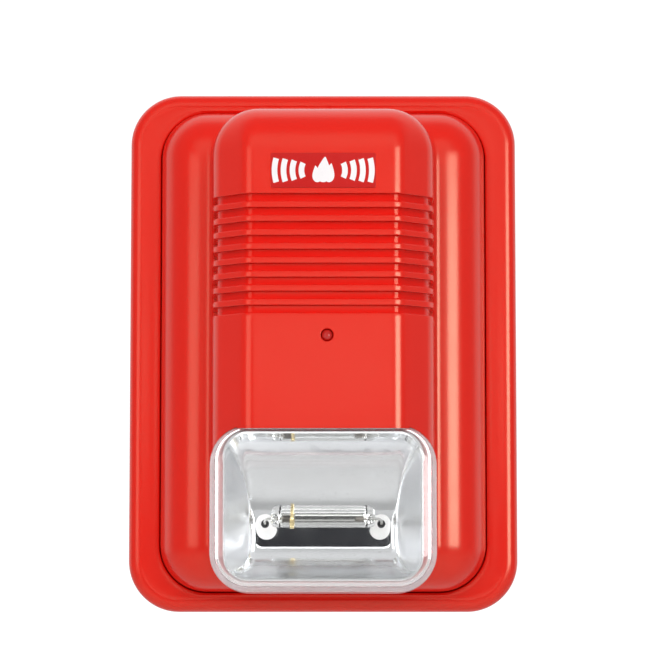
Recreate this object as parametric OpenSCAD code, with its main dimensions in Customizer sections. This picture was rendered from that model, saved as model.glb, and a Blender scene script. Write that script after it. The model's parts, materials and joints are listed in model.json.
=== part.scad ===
// Wall-mounted horn strobe: a back box that stays on the wall and a plug-in head.
// +Z is up, +X is to the right, and the wall is the plane y = 0.
// The front faces -Y, so "depth" below means the distance out from the wall.
// The origin is the centre of the wall-screw pattern, on the wall.

/* [Back box] */
// Width of the back box
box_w = 105; // [103:0.5:108]
// Height of the back box
box_h = 140.6; // [139:0.2:143]
// Corner radius of the back box
box_r = 13.7; // [13:0.1:15]
// Depth of the flange face
flange_d = 11; // [10.8:0.1:11.4]
// Rounding of the flange's front edge
flange_edge = 3.2; // [2:0.1:3.4]
// Thickness of the back box's floor
floor_t = 2.5; // [2.2:0.1:2.6]
// Gap between the head and the pocket that it plugs into
pocket_gap = 0.4; // [0.3:0.05:0.5]

/* [Wall fixing] */
// Distance between the two wall screws
screw_pitch = 60; // [58:0.5:61]
// Width of a wall-screw slot
slot_w = 4.4; // [4:0.1:5]
// Length of a wall-screw slot from end to end
slot_len = 12; // [8:0.5:13]
// Radius of the cable entry
cable_r = 11; // [8:0.5:11]

/* [Head] */
// Width of the step
step_w = 87.6; // [87:0.1:88]
// Height of the step
step_h = 129.6; // [129:0.1:130]
// Corner radius of the step, and the width of its rounded shoulder
step_r = 12.5; // [12:0.1:13]
// Depth of the step's face
step_d = 24; // [23.5:0.1:25]
// Width of the tower at its foot
tower_w = 58.9; // [58:0.1:59.4]
// Depth of the tower's front face
tower_d = 50; // [49.6:0.1:50.4]
// Radius of the tower's corners and of its front edge
tower_r = 12; // [11.5:0.1:12.4]
// Wall thickness of the head
wall = 2.4; // [2.2:0.1:2.5]

/* [Grooves] */
// Number of grooves round the tower
groove_count = 9; // [5:1:9]
// Distance from one groove to the next
groove_pitch = 3.6; // [3.4:0.05:3.65]
// Width of a groove
groove_w = 2; // [1.8:0.1:2.2]
// Depth of a groove
groove_depth = 1.2; // [0.8:0.1:1.3]
// Height of the lowest groove above the origin
groove_low = 8.1; // [7.8:0.1:8.4]

/* [Strobe] */
// Width of the lens at its foot
lens_w = 60; // [59.6:0.1:60.2]
// Depth of the lens's front face
lens_d = 51.6; // [51.4:0.1:52]
// Radius of the lens's corners
lens_r = 11; // [10.5:0.1:11.5]
// Width of the reflector's mouth
mouth_w = 50.3; // [49.5:0.1:50.6]
// Height of the reflector's mouth
mouth_h = 37; // [36.5:0.1:37.2]
// Radius of the flash tube
tube_r = 2.25; // [2:0.05:2.4]
// Length of the flash tube's glass
tube_len = 27; // [25:0.5:27.5]

/* [Terminals] */
// Number of terminals, switches and plug-in contacts of each kind
ways = 4; // [4:1:4]
// Distance from one terminal to the next
way_pitch = 5; // [4.9:0.05:5.1]
// Travel of a clamp cage
cage_travel = 1.3; // [0.8:0.1:1.3]

/* [Hidden] */
$fn = 48;
hull_fn = 32;
eps = 0.01;

// Back box
rim_t = 2.2;
rib_t = 1.2;
rib_x = [-36, -12, 12, 36];
rib_z = [-48, -16, 16, 48];
pocket_w = step_w + 2 * pocket_gap;
pocket_h = step_h + 2 * pocket_gap;
pocket_r = step_r + pocket_gap;
pocket_wall = 2;
slot_boss_r = 4.6;
slot_boss_d = floor_t + 1.5;
collar_t = 1.6;
collar_d = floor_t + 1.5;

// Depths of what the head holds, from the wall outwards
skirt_d = floor_t + 0.5;
cover_d = 12.3;
cover_t = 1.5;
cover_gap = 0.6;
board_d = 16.5;
board_t = 1.6;
board_front = board_d + board_t;
board_w = 68;
board_h = 116;

// Tower: its top and bottom at the foot, and how far the front leans in on each side
tower_top = 62.2;
tower_bottom = -64.3;
tower_draft = 0.6;
tower_cavity_d = tower_d - wall;
groove_foot = step_d + 3;
sound_slot_w = 1.4;
sound_slot_d = [29, 37];

// Lens: its outline at the foot, seen from the front
lens_bottom = -65;
lens_top = -20.7;
lens_h = lens_top - lens_bottom;
lens_z = (lens_top + lens_bottom) / 2;
lens_front_top = -22.5;
lens_foot = step_d + 2.1;
lens_wall = 2;
lens_edge = 4;
lens_draft = 1;
lens_inner_top = -21.9;
seat_t = lens_foot - 0.1 - step_d + wall;
seat_w = 51;
seat_h = 36;

// Reflector and flash tube
mouth_d = 46;
mouth_z = -42.4;
mouth_r = 6;
bowl_w = 37;
bowl_bottom = -54.5;
bowl_d = 34.3;
bowl_r = 4;
bowl_arc_r = 22;
bowl_arc_d = bowl_d + bowl_arc_r;
bowl_arc_z = -43.3;
bowl_steps = [bowl_d + 0.4, 37, 41, mouth_d];
bowl_t = 0.8;
bowl_back = bowl_d - bowl_t;
tube_d = 38.5;
tube_z = -45.4;
tube_wall = 0.5;
lead_x = 15.1;
lead_r = 0.35;
lead_z = -46.7;
bush_r = 1.05;
pad_t = 0.5;
post_r = 2.6;
post_places = [for (s = [-1, 1]) [s * 12, -35.5]];

// Trigger wire: place of its turn along the tube, and its two sizes
trigger_x = -8;
trigger_w = 1.1;
trigger_t = 0.35;

// Sounder
sounder_z = 26;
sounder_r = 19.5;
sounder_front = 46;
sounder_back = 33;
disc_d = 38;
disc_r = 16;
disc_t = 0.3;
ceramic_t = 0.25;
case_d = disc_d + 0.6;
lug_r = 2.4;
lug_d = sounder_front - 6;
sounder_lead_x = 8;
sounder_screw_r = 22.3;
sounder_angles = [90, 210, 330];

// Status light
led_place = [1, 1.4];
led_r = 1.5;
led_foot_d = tower_cavity_d - 3.4;
led_dome_d = tower_d - 1.3;
led_pin_x = 0.64;

// Label
label_w = 27;
label_h = 9;
label_z = 43.8;
label_t = 0.2;

// Parts on the board: places [x, z] and main sizes
capacitor_r = 6.5;
capacitor_len = 24;
capacitor_x = -26.5;
capacitor_z = -10;
core_place = [14, -9.5];
core_w = 16;
core_h = 5;
core_t = 12;
trigger_coil_place = [-21, -31.5];
trigger_capacitor_place = [20, -56];
transistor_place = [21, -31.5];
chip_z = -27;
chip_pitch = 1.27;
inductor_place = [22, 48];

// Screws: shank radius, and the pilot hole that takes it
shank_r = 1.1;
pilot_r = 1.15;
boss_r = 3;
board_bosses = [for (x = [-30.5, 30.5], z = [-50, 50]) [x, z]];
cover_bosses = [for (x = [-37.8, 37.8], z = [-40, 40]) [x, z]];

// Terminals and plug-in contacts
way_x = [for (i = [0 : ways - 1]) (i - (ways - 1) / 2) * way_pitch];
block_w = ways * way_pitch + 1.6;
block_z = [21.5, 31];
block_d = 11.5;
cage_z = 26.2;
cage_w = 3.4;
cage_len = 3.2;
cage_d = 3.1;
cage_h = 4.7;
cage_t = 0.6;
bar_d = 5.7;
bar_t = 0.6;
screw_head_r = 1.75;
screw_head_d = 10.05;
screw_shank_r = 1.2;
screw_tip_d = bar_d + bar_t + 0.1;
contact_z = -36;
contact_h = 8;
contact_d = 10.5;
contact_gap = 1;
leaf_t = 0.4;
leaf_w = 3;
pin_t = 0.8;
pin_w = 2.4;
strip_t = 0.6;

// Switches and trimmer on the back of the board
dip_place = [5, 46];
dip_w = 11.6;
dip_h = 6.2;
dip_t = 2.9;
dip_pitch = 2.54;
slider_size = 1.1;
slider_travel = 1;
trimmer_place = [-18, 46];
trimmer_size = 6;
trimmer_t = 3;
rotor_r = 1.6;

// Moves children to a depth, with local x to the right, y up and z out from the wall
module at_depth(d) translate([0, -d, 0]) rotate([90, 0, 0]) children();

module rounded_rect(w, h, r) {
  square([w - 2 * r, h], center = true);
  square([w, h - 2 * r], center = true);
  for (x = [-1, 1], y = [-1, 1])
    translate([x * (w / 2 - r), y * (h / 2 - r)]) circle(r);
}

// A rounded plate from depth d0 to depth d1
module slab(w, h, r, d0, d1) at_depth(d0) linear_extrude(d1 - d0) rounded_rect(w, h, r);

// A straight round peg from depth d0 to depth d1, at a place [x, z]
module peg(place, r, d0, d1) at_depth(d0) translate([place[0], place[1], 0]) cylinder(r = r, h = d1 - d0);

// A box given by its low and high x, z and depth
module block(x, z, d) translate([x[0], -d[1], z[0]]) cube([x[1] - x[0], d[1] - d[0], z[1] - z[0]]);

// A square post centred at a place [x, z]
module post(place, w, h, d0, d1) {
  block([place[0] - w / 2, place[0] + w / 2], [place[1] - h / 2, place[1] + h / 2], [d0, d1]);
}

// A self-tapping screw with its head behind depth d
module board_screw(place, d, length, head_r) {
  peg(place, head_r, d - 1.3, d);
  peg(place, shank_r, d - eps, d + length);
}

/* Back box */

module flange_body() {
  hull() {
    slab(box_w, box_h, box_r, 0, flange_d - flange_edge);
    for (x = [-1, 1], z = [-1, 1])
      at_depth(flange_d - flange_edge)
        translate([x * (box_w / 2 - box_r), z * (box_h / 2 - box_r), 0])
          rotate_extrude($fn = hull_fn)
            translate([box_r - flange_edge, 0]) intersection() {
              circle(flange_edge, $fn = hull_fn);
              square(flange_edge);
            }
  }
}

module wall_slot(r, length, d0, d1) {
  reach = length / 2 - r;
  for (side = [-1, 1]) {
    x = side * screw_pitch / 2;
    for (e = [-1, 1]) peg([x + e * reach, 0], r, d0, d1);
    block([x - reach, x + reach], [-r, r], [d0, d1]);
  }
}

module base_plate() color("firebrick") difference() {
  union() {
    difference() {
      flange_body();
      slab(pocket_w, pocket_h, pocket_r, floor_t, flange_d + 1);
      // The flange is hollow behind its face
      difference() {
        slab(box_w - 2 * rim_t, box_h - 2 * rim_t, box_r - rim_t, -1, flange_d - rim_t);
        slab(pocket_w + 2 * pocket_wall, pocket_h + 2 * pocket_wall, pocket_r + pocket_wall, -2, flange_d);
        for (x = rib_x) block([x - rib_t / 2, x + rib_t / 2], [-box_h, box_h], [0.6, flange_d]);
        for (z = rib_z) block([-box_w, box_w], [z - rib_t / 2, z + rib_t / 2], [0.6, flange_d]);
      }
    }
    wall_slot(slot_boss_r, slot_len - slot_w + 2 * slot_boss_r, floor_t - eps, slot_boss_d);
    peg([0, 0], cable_r + collar_t, floor_t - eps, collar_d);
  }
  wall_slot(slot_w / 2, slot_len, -1, slot_boss_d + 1);
  peg([0, 0], cable_r, -1, collar_d + 1);
}

module terminal_block() color("seagreen") difference() {
  block([-block_w / 2, block_w / 2], block_z, [floor_t, block_d]);
  for (x = way_x) {
    // Chamber of the cage, open below for the wire
    block([x - 2, x + 2], [block_z[0] - 1, cage_z + cage_len / 2 + 0.3],
          [cage_d - 0.1, cage_d + cage_h + cage_travel + 0.1]);
    peg([x, cage_z], screw_head_r + 0.1, 9.98, block_d + 1);
    peg([x, cage_z], screw_shank_r + 0.1, 9, 10.5);
    block([x - 1.15, x + 1.15], [cage_z, block_z[1] + 1], [bar_d - 0.05, bar_d + bar_t + 0.05]);
  }
}

// Each bar runs through its cage and down behind the block to its strip
module terminal_bars() color("gold") for (x = way_x) {
  block([x - 1.1, x + 1.1], [22.5, block_z[1] + 0.8], [bar_d, bar_d + bar_t]);
  block([x - 1.1, x + 1.1], [block_z[1] + 0.2, block_z[1] + 0.8], [floor_t + strip_t, bar_d + eps]);
}

module terminal_screw(i) color("silver") difference() {
  union() {
    peg([way_x[i], cage_z], screw_head_r, screw_head_d, screw_head_d + 1.2);
    peg([way_x[i], cage_z], screw_shank_r, screw_tip_d, screw_head_d + eps);
  }
  block([way_x[i] - 2, way_x[i] + 2], [cage_z - 0.3, cage_z + 0.3], [screw_head_d + 0.6, screw_head_d + 2]);
}

module clamp_cage(i) color("lightgrey") difference() {
  post([way_x[i], cage_z], cage_w, cage_len, cage_d, cage_d + cage_h);
  post([way_x[i], cage_z], cage_w - 2 * cage_t, cage_len + 1, cage_d + cage_t, cage_d + cage_h - cage_t);
  peg([way_x[i], cage_z], screw_shank_r + 0.05, cage_d + cage_t, cage_d + cage_h + 1);
}

// A strip runs from a terminal, round the side of the cable entry, to a contact
module link_strip(i) {
  side = sign(way_x[i]);
  outer = abs(way_x[i]) < way_pitch;
  x = abs(way_x[i]);
  far = outer ? 17.5 : 14;
  up = outer ? 37 : 33.6;
  down = contact_z - contact_h / 2 - (outer ? 5.4 : 2);
  d = [floor_t, floor_t + strip_t];
  xs = side > 0 ? [x - 1, far + 1] : [-far - 1, 1 - x];
  block(side > 0 ? [x - 1, x + 1] : [-x - 1, 1 - x], [block_z[1] + 0.2, up + 1], d);
  block(xs, [up - 1, up + 1], d);
  block(side > 0 ? [far - 1, far + 1] : [-far - 1, 1 - far], [down - 1, up + 1], d);
  block(xs, [down - 1, down + 1], d);
  block(side > 0 ? [x - 1, x + 1] : [-x - 1, 1 - x], [down - 1, contact_z - contact_h / 2 - 0.1], d);
}

module link_strips() color("goldenrod") for (i = [0 : ways - 1]) link_strip(i);

module contact_housing() color("ivory") difference() {
  post([0, contact_z], block_w, contact_h, floor_t, contact_d);
  for (x = way_x) {
    post([x, contact_z], contact_gap + 2 * leaf_t + 0.2, leaf_w + 0.2, floor_t + 1, contact_d + 1);
    // Way for the foot of the spring
    block([x - 0.5, x + 0.5], [contact_z - contact_h, contact_z - leaf_w / 2],
          [floor_t + strip_t - 0.05, floor_t + 1.2]);
    post([x, contact_z], 1, leaf_w, floor_t + strip_t - 0.05, floor_t + 1.1);
  }
}

// Two leaves a pin's width apart, joined at the bottom, with a foot out to the strip
module contact_springs() color("khaki") for (x = way_x) {
  for (s = [-1, 1])
    post([x + s * (contact_gap + leaf_t) / 2, contact_z], leaf_t, leaf_w, floor_t + 1.05, contact_d - 0.6);
  post([x, contact_z], contact_gap + 2 * leaf_t, leaf_w, floor_t + 1.05, floor_t + 1.4);
  block([x - 0.4, x + 0.4], [contact_z - contact_h / 2 - 0.9, contact_z], [floor_t + strip_t, floor_t + 1.1]);
}

/* Head */

// The step, shrunk by an inset on all sides
module step_solid(inset, d0) {
  r = step_r - inset;
  dome = step_d - inset - flange_d;
  hull() for (x = [-1, 1], z = [-1, 1])
    at_depth(d0) translate([x * (step_w / 2 - step_r), z * (step_h / 2 - step_r), 0]) {
      cylinder(r = r, h = flange_d - d0, $fn = hull_fn);
      translate([0, 0, flange_d - d0]) scale([1, 1, dome / r]) intersection() {
        sphere(r, $fn = hull_fn);
        translate([-r, -r, 0]) cube(2 * r);
      }
    }
}

// The tower, shrunk by an inset on all sides
module tower_solid(inset, d0) {
  r = tower_r - inset;
  mid = (tower_top + tower_bottom) / 2;
  half = [tower_w / 2 - tower_r, (tower_top - tower_bottom) / 2 - tower_r];
  hull() for (x = [-1, 1], z = [-1, 1]) {
    at_depth(d0) translate([x * half[0], mid + z * half[1], 0]) cylinder(r = r, h = 1, $fn = hull_fn);
    at_depth(tower_d - tower_r)
      translate([x * (half[0] - tower_draft), mid + z * (half[1] - tower_draft), 0]) sphere(r, $fn = hull_fn);
  }
}

// Outline of the lens's foot, grown by a gap
module lens_outline(grow) translate([0, lens_z])
  rounded_rect(lens_w + 2 * grow, lens_h + 2 * grow, lens_r + grow);

function groove_z(i) = groove_low + i * groove_pitch;

// Place of the sounder screw at an angle
function around(a) = [sounder_screw_r * cos(a), sounder_z + sounder_screw_r * sin(a)];

// The bands between and around the grooves
module rib_bands() {
  reach = tower_w;
  top = groove_z(groove_count - 1) + groove_w / 2;
  block([-reach, reach], [-80, groove_z(0) - groove_w / 2], [0, 80]);
  block([-reach, reach], [top, 80], [0, 80]);
  block([-reach, reach], [-80, 80], [0, groove_foot]);
  for (i = [0 : groove_count - 2])
    block([-reach, reach], [groove_z(i) + groove_w / 2, groove_z(i + 1) - groove_w / 2], [0, 80]);
}

module front_housing() color("red") difference() {
  union() {
    difference() {
      union() {
        step_solid(0, skirt_d);
        tower_solid(groove_depth, skirt_d + 10);
        intersection() {
          tower_solid(0, skirt_d + 10);
          rib_bands();
        }
      }
      step_solid(wall, skirt_d - 1);
      tower_solid(wall, skirt_d + 2);
    }
    // Floor of the lens pocket, with a window for the back of the reflector
    at_depth(step_d - wall) linear_extrude(seat_t) difference() {
      translate([0, lens_z]) rounded_rect(tower_w - wall, lens_h - wall, tower_r - wall / 2);
      translate([0, mouth_z]) rounded_rect(seat_w, seat_h, 6);
    }
    for (p = board_bosses) peg(p, boss_r, board_front, step_d - wall + 0.6);
    intersection() {
      for (p = cover_bosses) peg(p, 2.8, cover_d + cover_t, step_d);
      step_solid(0.6, skirt_d);
    }
    for (a = sounder_angles) peg(around(a), lug_r, lug_d, tower_cavity_d + 0.6);
  }
  // Room for the lens
  at_depth(lens_foot - 0.1) linear_extrude(80) difference() {
    lens_outline(0.15);
    translate([-50, lens_front_top + 0.1]) square([100, 20]);
  }
  intersection() {
    at_depth(lens_foot - 0.1) linear_extrude(tower_cavity_d - lens_foot + 0.2) lens_outline(0.15);
    block([-50, 50], [lens_front_top - 1, lens_top + 1], [0, 80]);
  }
  block([-50, 50], [-80, lens_top - lens_r - 0.1], [lens_foot - 0.1, 80]);
  // Sound outlets, out of sight in the sides of the grooves
  for (i = [0 : groove_count - 1])
    block([-tower_w, tower_w], [for (s = [-1, 1]) groove_z(i) + s * sound_slot_w / 2], sound_slot_d);
  peg(led_place, led_r + 0.1, tower_cavity_d - 1, tower_d + 1);
  for (p = board_bosses) peg(p, pilot_r, board_front - 1, board_front + 4);
  for (p = cover_bosses) peg(p, pilot_r, cover_d, cover_d + cover_t + 4.2);
  for (a = sounder_angles) peg(around(a), pilot_r - 0.2, lug_d - 1, sounder_front);
}

// A rounded box that narrows towards the front, for the lens and its inside
module lens_solid(inset, top, d0, d1, edge) {
  r = lens_r - inset;
  low = lens_bottom + inset;
  half_w = lens_w / 2 - inset;
  hull() for (x = [-1, 1], z = [low + r, top - r]) {
    at_depth(d0) translate([x * (half_w - r), z, 0]) cylinder(r = r, h = 0.5, $fn = hull_fn);
    at_depth(d1 - edge) translate([x * (half_w - r), z, 0])
      rotate_extrude($fn = hull_fn) translate([r - edge - lens_draft, 0]) intersection() {
        circle(edge, $fn = hull_fn);
        square(edge);
      }
  }
}

module strobe_lens() color([0.9, 0.95, 1, 0.4]) difference() {
  lens_solid(0, lens_top, lens_foot, lens_d, lens_edge);
  lens_solid(lens_wall, lens_inner_top, lens_foot - 1, lens_d - lens_wall, lens_edge - lens_wall + 0.2);
  block([-50, 50], [lens_front_top, 0], [tower_cavity_d - 0.15, 80]);
}

// The bowl's upper wall is an arc seen from the side; its other walls are straight
function bowl_share(d) = (d - bowl_d) / (mouth_d - bowl_d);
function bowl_top(d) = bowl_arc_z + sqrt(pow(bowl_arc_r, 2) - pow(bowl_arc_d - d, 2));
function bowl_low(d) = bowl_bottom + (mouth_z - mouth_h / 2 - bowl_bottom) * bowl_share(d);
function bowl_wide(d) = bowl_w + (mouth_w - bowl_w) * bowl_share(d);
function bowl_corner(d) = bowl_r + (mouth_r - bowl_r) * bowl_share(d);

module bowl_section(d, grow, shift) at_depth(d + shift)
  translate([0, (bowl_top(d) + bowl_low(d)) / 2, 0]) linear_extrude(0.01)
    rounded_rect(bowl_wide(d) + 2 * grow, bowl_top(d) - bowl_low(d) + 2 * grow,
      bowl_corner(d) + grow, $fn = hull_fn);

module bowl_solid(grow, back, front) for (i = [0:2]) hull() {
  bowl_section(bowl_steps[i], grow, back - (i == 0 ? bowl_steps[0] - bowl_d : 0));
  bowl_section(bowl_steps[i + 1], grow, i == 2 ? front : back);
}

module reflector() color("gainsboro") difference() {
  union() {
    bowl_solid(bowl_t, -bowl_t, -0.01);
    for (p = post_places) peg(p, post_r, board_front, bowl_d + 1.5);
  }
  bowl_solid(0, 0, 0.1);
  for (x = [-lead_x, lead_x]) peg([x, lead_z], bush_r, bowl_back - 1, bowl_d + 1);
  for (p = post_places) peg(p, pilot_r, board_front - 1, board_front + 5);
}

module along_x(r, x0, x1) translate([x0, -tube_d, tube_z]) rotate([0, 90, 0]) cylinder(r = r, h = x1 - x0);

module flash_tube() color([0.95, 0.97, 1, 0.4]) difference() {
  along_x(tube_r, -tube_len / 2, tube_len / 2);
  along_x(tube_r - tube_wall, 1.5 - tube_len / 2, tube_len / 2 - 1.5);
  for (s = [0, 1]) mirror([s, 0, 0]) along_x(lead_r, tube_len / 2 - 2, tube_len / 2 + 1);
}

module tube_electrodes() color("slategrey") for (s = [0, 1]) mirror([s, 0, 0])
  along_x(1, tube_len / 2 - 5.5, tube_len / 2 - 1.6);

module tube_leads() color("darkgrey") for (s = [0, 1]) mirror([s, 0, 0]) {
  along_x(lead_r - 0.03, tube_len / 2 - 1.6, lead_x);
  translate([lead_x, -tube_d, lead_z]) cylinder(r = lead_r - 0.03, h = tube_z - lead_z);
  peg([lead_x, lead_z], lead_r - 0.03, board_d - 1, tube_d);
  for (z = [tube_z, lead_z]) translate([lead_x, -tube_d, z]) sphere(lead_r - 0.03);
}

// Bushes that carry the leads through the back of the bowl
module lead_grommets() color("black") for (x = [-lead_x, lead_x]) difference() {
  union() {
    peg([x, lead_z], bush_r - 0.02, bowl_back - 1, bowl_d + 0.4);
    peg([x, lead_z], bush_r + 0.8, bowl_back - 1.2, bowl_back - 0.02);
  }
  peg([x, lead_z], lead_r + 0.02, bowl_back - 3, bowl_d + 3);
}

// Beads of sealant round the bushes, each run down a little
module lead_pads() color("white") for (s = [0, 1]) mirror([s, 0, 0]) difference() {
  hull() {
    peg([lead_x, lead_z], 2.5, bowl_d + 0.02, bowl_d + pad_t);
    peg([lead_x - 0.4, lead_z - 1.4], 2.7, bowl_d + 0.02, bowl_d + pad_t);
  }
  peg([lead_x, lead_z], bush_r + 0.02, bowl_d - 1, bowl_d + 2);
}

// One turn round the tube, with a tail back through the bowl to the board
module trigger_wire() color("goldenrod") {
  difference() {
    along_x(tube_r + trigger_t, trigger_x - trigger_w / 2, trigger_x + trigger_w / 2);
    along_x(tube_r + 0.03, trigger_x - 1, trigger_x + 1);
  }
  peg([trigger_x, tube_z], 0.17, bowl_d + 0.02, tube_d - tube_r - 0.1);
}

module status_led() color([0.8, 0.1, 0.1]) {
  peg(led_place, led_r, led_foot_d, led_dome_d);
  peg(led_place, led_r + 0.4, led_foot_d, led_foot_d + 1);
  at_depth(led_dome_d) translate([led_place[0], led_place[1], 0]) intersection() {
    sphere(led_r);
    translate([0, 0, -eps]) cylinder(r = 2, h = 2);
  }
  for (s = [-1, 1]) peg([led_place[0] + s * led_pin_x, led_place[1]], 0.25, board_d - 1, led_foot_d + eps);
}

module led_spacer() color("white") difference() {
  peg(led_place, 2.2, board_front, led_foot_d);
  peg(led_place, 1.3, board_front - 1, led_foot_d + 1);
}

module label_plate() color("darkred")
  block([-label_w / 2, label_w / 2], [label_z - label_h / 2, label_z + label_h / 2],
        [tower_d, tower_d + label_t]);

module main_board() color("darkgreen") difference() {
  slab(board_w, board_h, 4, board_d, board_front);
  for (p = concat(board_bosses, post_places)) peg(p, shank_r + 0.2, board_d - 1, board_front + 1);
  for (x = [-lead_x, lead_x]) peg([x, lead_z], lead_r + 0.05, board_d - 1, board_front + 1);
  for (s = [-1, 1]) peg([led_place[0] + s * led_pin_x, led_place[1]], 0.3, board_d - 1, board_front + 1);
  for (x = way_x) post([x, contact_z], pin_t + 0.1, pin_w + 0.1, board_d - 1, board_front + 1);
  for (s = [-1, 1]) peg([s * sounder_lead_x, sounder_z], 0.35, board_d - 1, board_front + 1);
}

module flash_capacitor() color("midnightblue") {
  r = capacitor_r;
  d = board_front + r + 0.1;
  translate([capacitor_x, -d, capacitor_z]) rotate([0, 90, 0]) difference() {
    union() {
      cylinder(r = r, h = capacitor_len);
      cylinder(r = r - 0.5, h = capacitor_len + 0.6);
    }
    translate([0, 0, 2.2]) rotate_extrude() translate([r + 0.2, 0]) circle(0.7);
  }
}

module transformer_core() color("dimgrey") difference() {
  post(core_place, core_w, core_h, board_front + 1, board_front + 1 + core_t);
  for (s = [-1, 1])
    post([core_place[0] + s * 4.6, core_place[1]], 4, core_h + 1, board_front + 3, board_front - 1 + core_t);
}

module transformer_coil() color("khaki") difference() {
  union() {
    post(core_place, 12.6, 13, board_front + 3.2, board_front + core_t - 1.2);
    for (s = [-1, 1])
      post([core_place[0], core_place[1] + s * 5.6], 12.6, 1.8, board_front, board_front + 4);
  }
  post(core_place, 5.4, core_h + 0.2, board_front, board_front + core_t + 2);
}

module trigger_coil() color("peru") {
  peg(trigger_coil_place, 3, board_front, board_front + 0.8);
  peg(trigger_coil_place, 2.4, board_front + 0.7, board_front + 6);
  peg(trigger_coil_place, 3, board_front + 5.9, board_front + 6.7);
}

module trigger_capacitor() color("darkorange")
  post(trigger_capacitor_place, 8, 3, board_front, board_front + 6);

module switching_transistor() color([0.15, 0.15, 0.16]) difference() {
  union() {
    post(transistor_place, 8, 11, board_front, board_front + 3);
    for (x = [-2.3, 0, 2.3])
      post(transistor_place + [x, -7.5], 0.7, 5, board_front, board_front + 0.6);
  }
  peg(transistor_place + [0, 3], 1.5, board_front - 1, board_front + 4);
}

module controller_chip() color([0.12, 0.12, 0.13]) {
  post([0, chip_z], 10, 3.9, board_front + 0.2, board_front + 1.7);
  for (i = [0 : 7], s = [-1, 1])
    post([(i - 3.5) * chip_pitch, chip_z + s * 2.5], 0.4, 1.2, board_front, board_front + 0.6);
}

// A small axial part lying along X
module axial(x, z, r, length) {
  d = board_front + r;
  translate([x - length / 2, -d, z]) rotate([0, 90, 0]) cylinder(r = r, h = length);
}

module rectifier_diodes() color([0.2, 0.2, 0.2]) for (z = [-48, -52, -56]) axial(-24, z, 1.3, 5);

module resistors() color("tan") for (z = [2, 6, 10], x = [-26, 26]) axial(x, z, 1.1, 6);

module sounder_inductor() color([0.25, 0.25, 0.28]) {
  peg(inductor_place, 4.5, board_front, board_front + 1.5);
  peg(inductor_place, 3.6, board_front + 1.4, board_front + 8);
  peg(inductor_place, 4.5, board_front + 7.9, board_front + 9.4);
}

module sounder_case() color([0.15, 0.15, 0.15]) difference() {
  union() {
    peg([0, sounder_z], sounder_r, case_d, sounder_front);
    for (a = sounder_angles) {
      peg(around(a), lug_r, case_d, lug_d);
      at_depth(case_d) translate([0, sounder_z, 0]) rotate(a) translate([sounder_r - 1, -lug_r, 0])
        cube([sounder_screw_r - sounder_r + 1, 2 * lug_r, lug_d - case_d]);
    }
  }
  peg([0, sounder_z], sounder_r - 1.6, disc_d - 1, disc_d + 1.5);
  peg([0, sounder_z], disc_r - 2, disc_d, sounder_front - 1.5);
  peg([0, sounder_z], 6, disc_d, sounder_front + 1);
  for (a = sounder_angles) peg(around(a), shank_r, sounder_front - 10, sounder_front + 1);
}

module sounder_cap() color([0.2, 0.2, 0.2]) difference() {
  peg([0, sounder_z], sounder_r, sounder_back, case_d);
  peg([0, sounder_z], disc_r - 1, sounder_back + 1.2, disc_d + 1);
  peg([0, sounder_z], disc_r + 0.1, disc_d - 0.02, disc_d + 1);
  for (s = [-1, 1]) peg([s * sounder_lead_x, sounder_z], 0.6, sounder_back - 1, sounder_back + 2);
}

module piezo_disc() color("goldenrod") peg([0, sounder_z], disc_r, disc_d, disc_d + disc_t);

module piezo_ceramic() color("whitesmoke") peg([0, sounder_z], 11, disc_d - ceramic_t, disc_d);

// Soft ring that holds the edge of the disc
module disc_seal() color("dimgrey") difference() {
  peg([0, sounder_z], sounder_r - 1.7, case_d + 0.02, disc_d + 1.5);
  peg([0, sounder_z], disc_r - 1.9, disc_d, disc_d + 3);
}

module sounder_leads() color("red")
  for (s = [-1, 1]) peg([s * sounder_lead_x, sounder_z], 0.3, board_d - 1, disc_d - ceramic_t);

module sounder_screws() color("silver") for (a = sounder_angles) {
  peg(around(a), 1.9, case_d - 1.2, case_d);
  peg(around(a), pilot_r - 0.25, case_d - eps, sounder_front - 1.5);
}

module board_screws() color("silver") for (p = board_bosses) board_screw(p, board_d, 4.8, 2.2);

module reflector_screws() color("silver") for (p = post_places) board_screw(p, board_d, 5.5, 2.2);

module cover_screws() color("silver") for (p = cover_bosses) board_screw(p, cover_d, 5, 2);

module rear_cover() color("firebrick") difference() {
  inset = wall + cover_gap;
  slab(step_w - 2 * inset, step_h - 2 * inset, step_r - inset, cover_d, cover_d + cover_t);
  for (p = cover_bosses) peg(p, shank_r + 0.2, cover_d - 1, cover_d + 3);
  post(dip_place, dip_w + 0.6, dip_h + 0.6, cover_d - 1, cover_d + 3);
  post(trimmer_place, trimmer_size + 0.6, trimmer_size + 0.6, cover_d - 1, cover_d + 3);
  for (x = way_x) post([x, contact_z], pin_t + 0.5, pin_w + 0.5, cover_d - 1, cover_d + 3);
  // Heads of the board's screws and the tails of its leads
  for (p = concat(board_bosses, post_places)) peg(p, 2.6, cover_d + 0.9, cover_d + 3);
}

module contact_pins() color("gold") for (x = way_x) {
  post([x, contact_z], pin_t, pin_w, 4.6, board_front + 1);
}

module dip_body() color("crimson") difference() {
  post(dip_place, dip_w, dip_h, board_d - dip_t, board_d);
  for (i = [0 : ways - 1])
    post([slider_x(i), dip_place[1]], slider_size + 0.1, slider_size + slider_travel + 0.2,
         board_d - dip_t - 1, board_d - dip_t + 1);
}

function slider_x(i) = dip_place[0] + (i - (ways - 1) / 2) * dip_pitch;

module dip_slider(i) color("white")
  post([slider_x(i), dip_place[1] - slider_travel / 2], slider_size, slider_size,
       board_d - dip_t - 0.6, board_d - dip_t + 0.95);

module trimmer_body() color("royalblue") difference() {
  post(trimmer_place, trimmer_size, trimmer_size, board_d - trimmer_t, board_d);
  peg(trimmer_place, rotor_r + 0.05, board_d - trimmer_t - 1, board_d - trimmer_t + 1.5);
}

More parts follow.
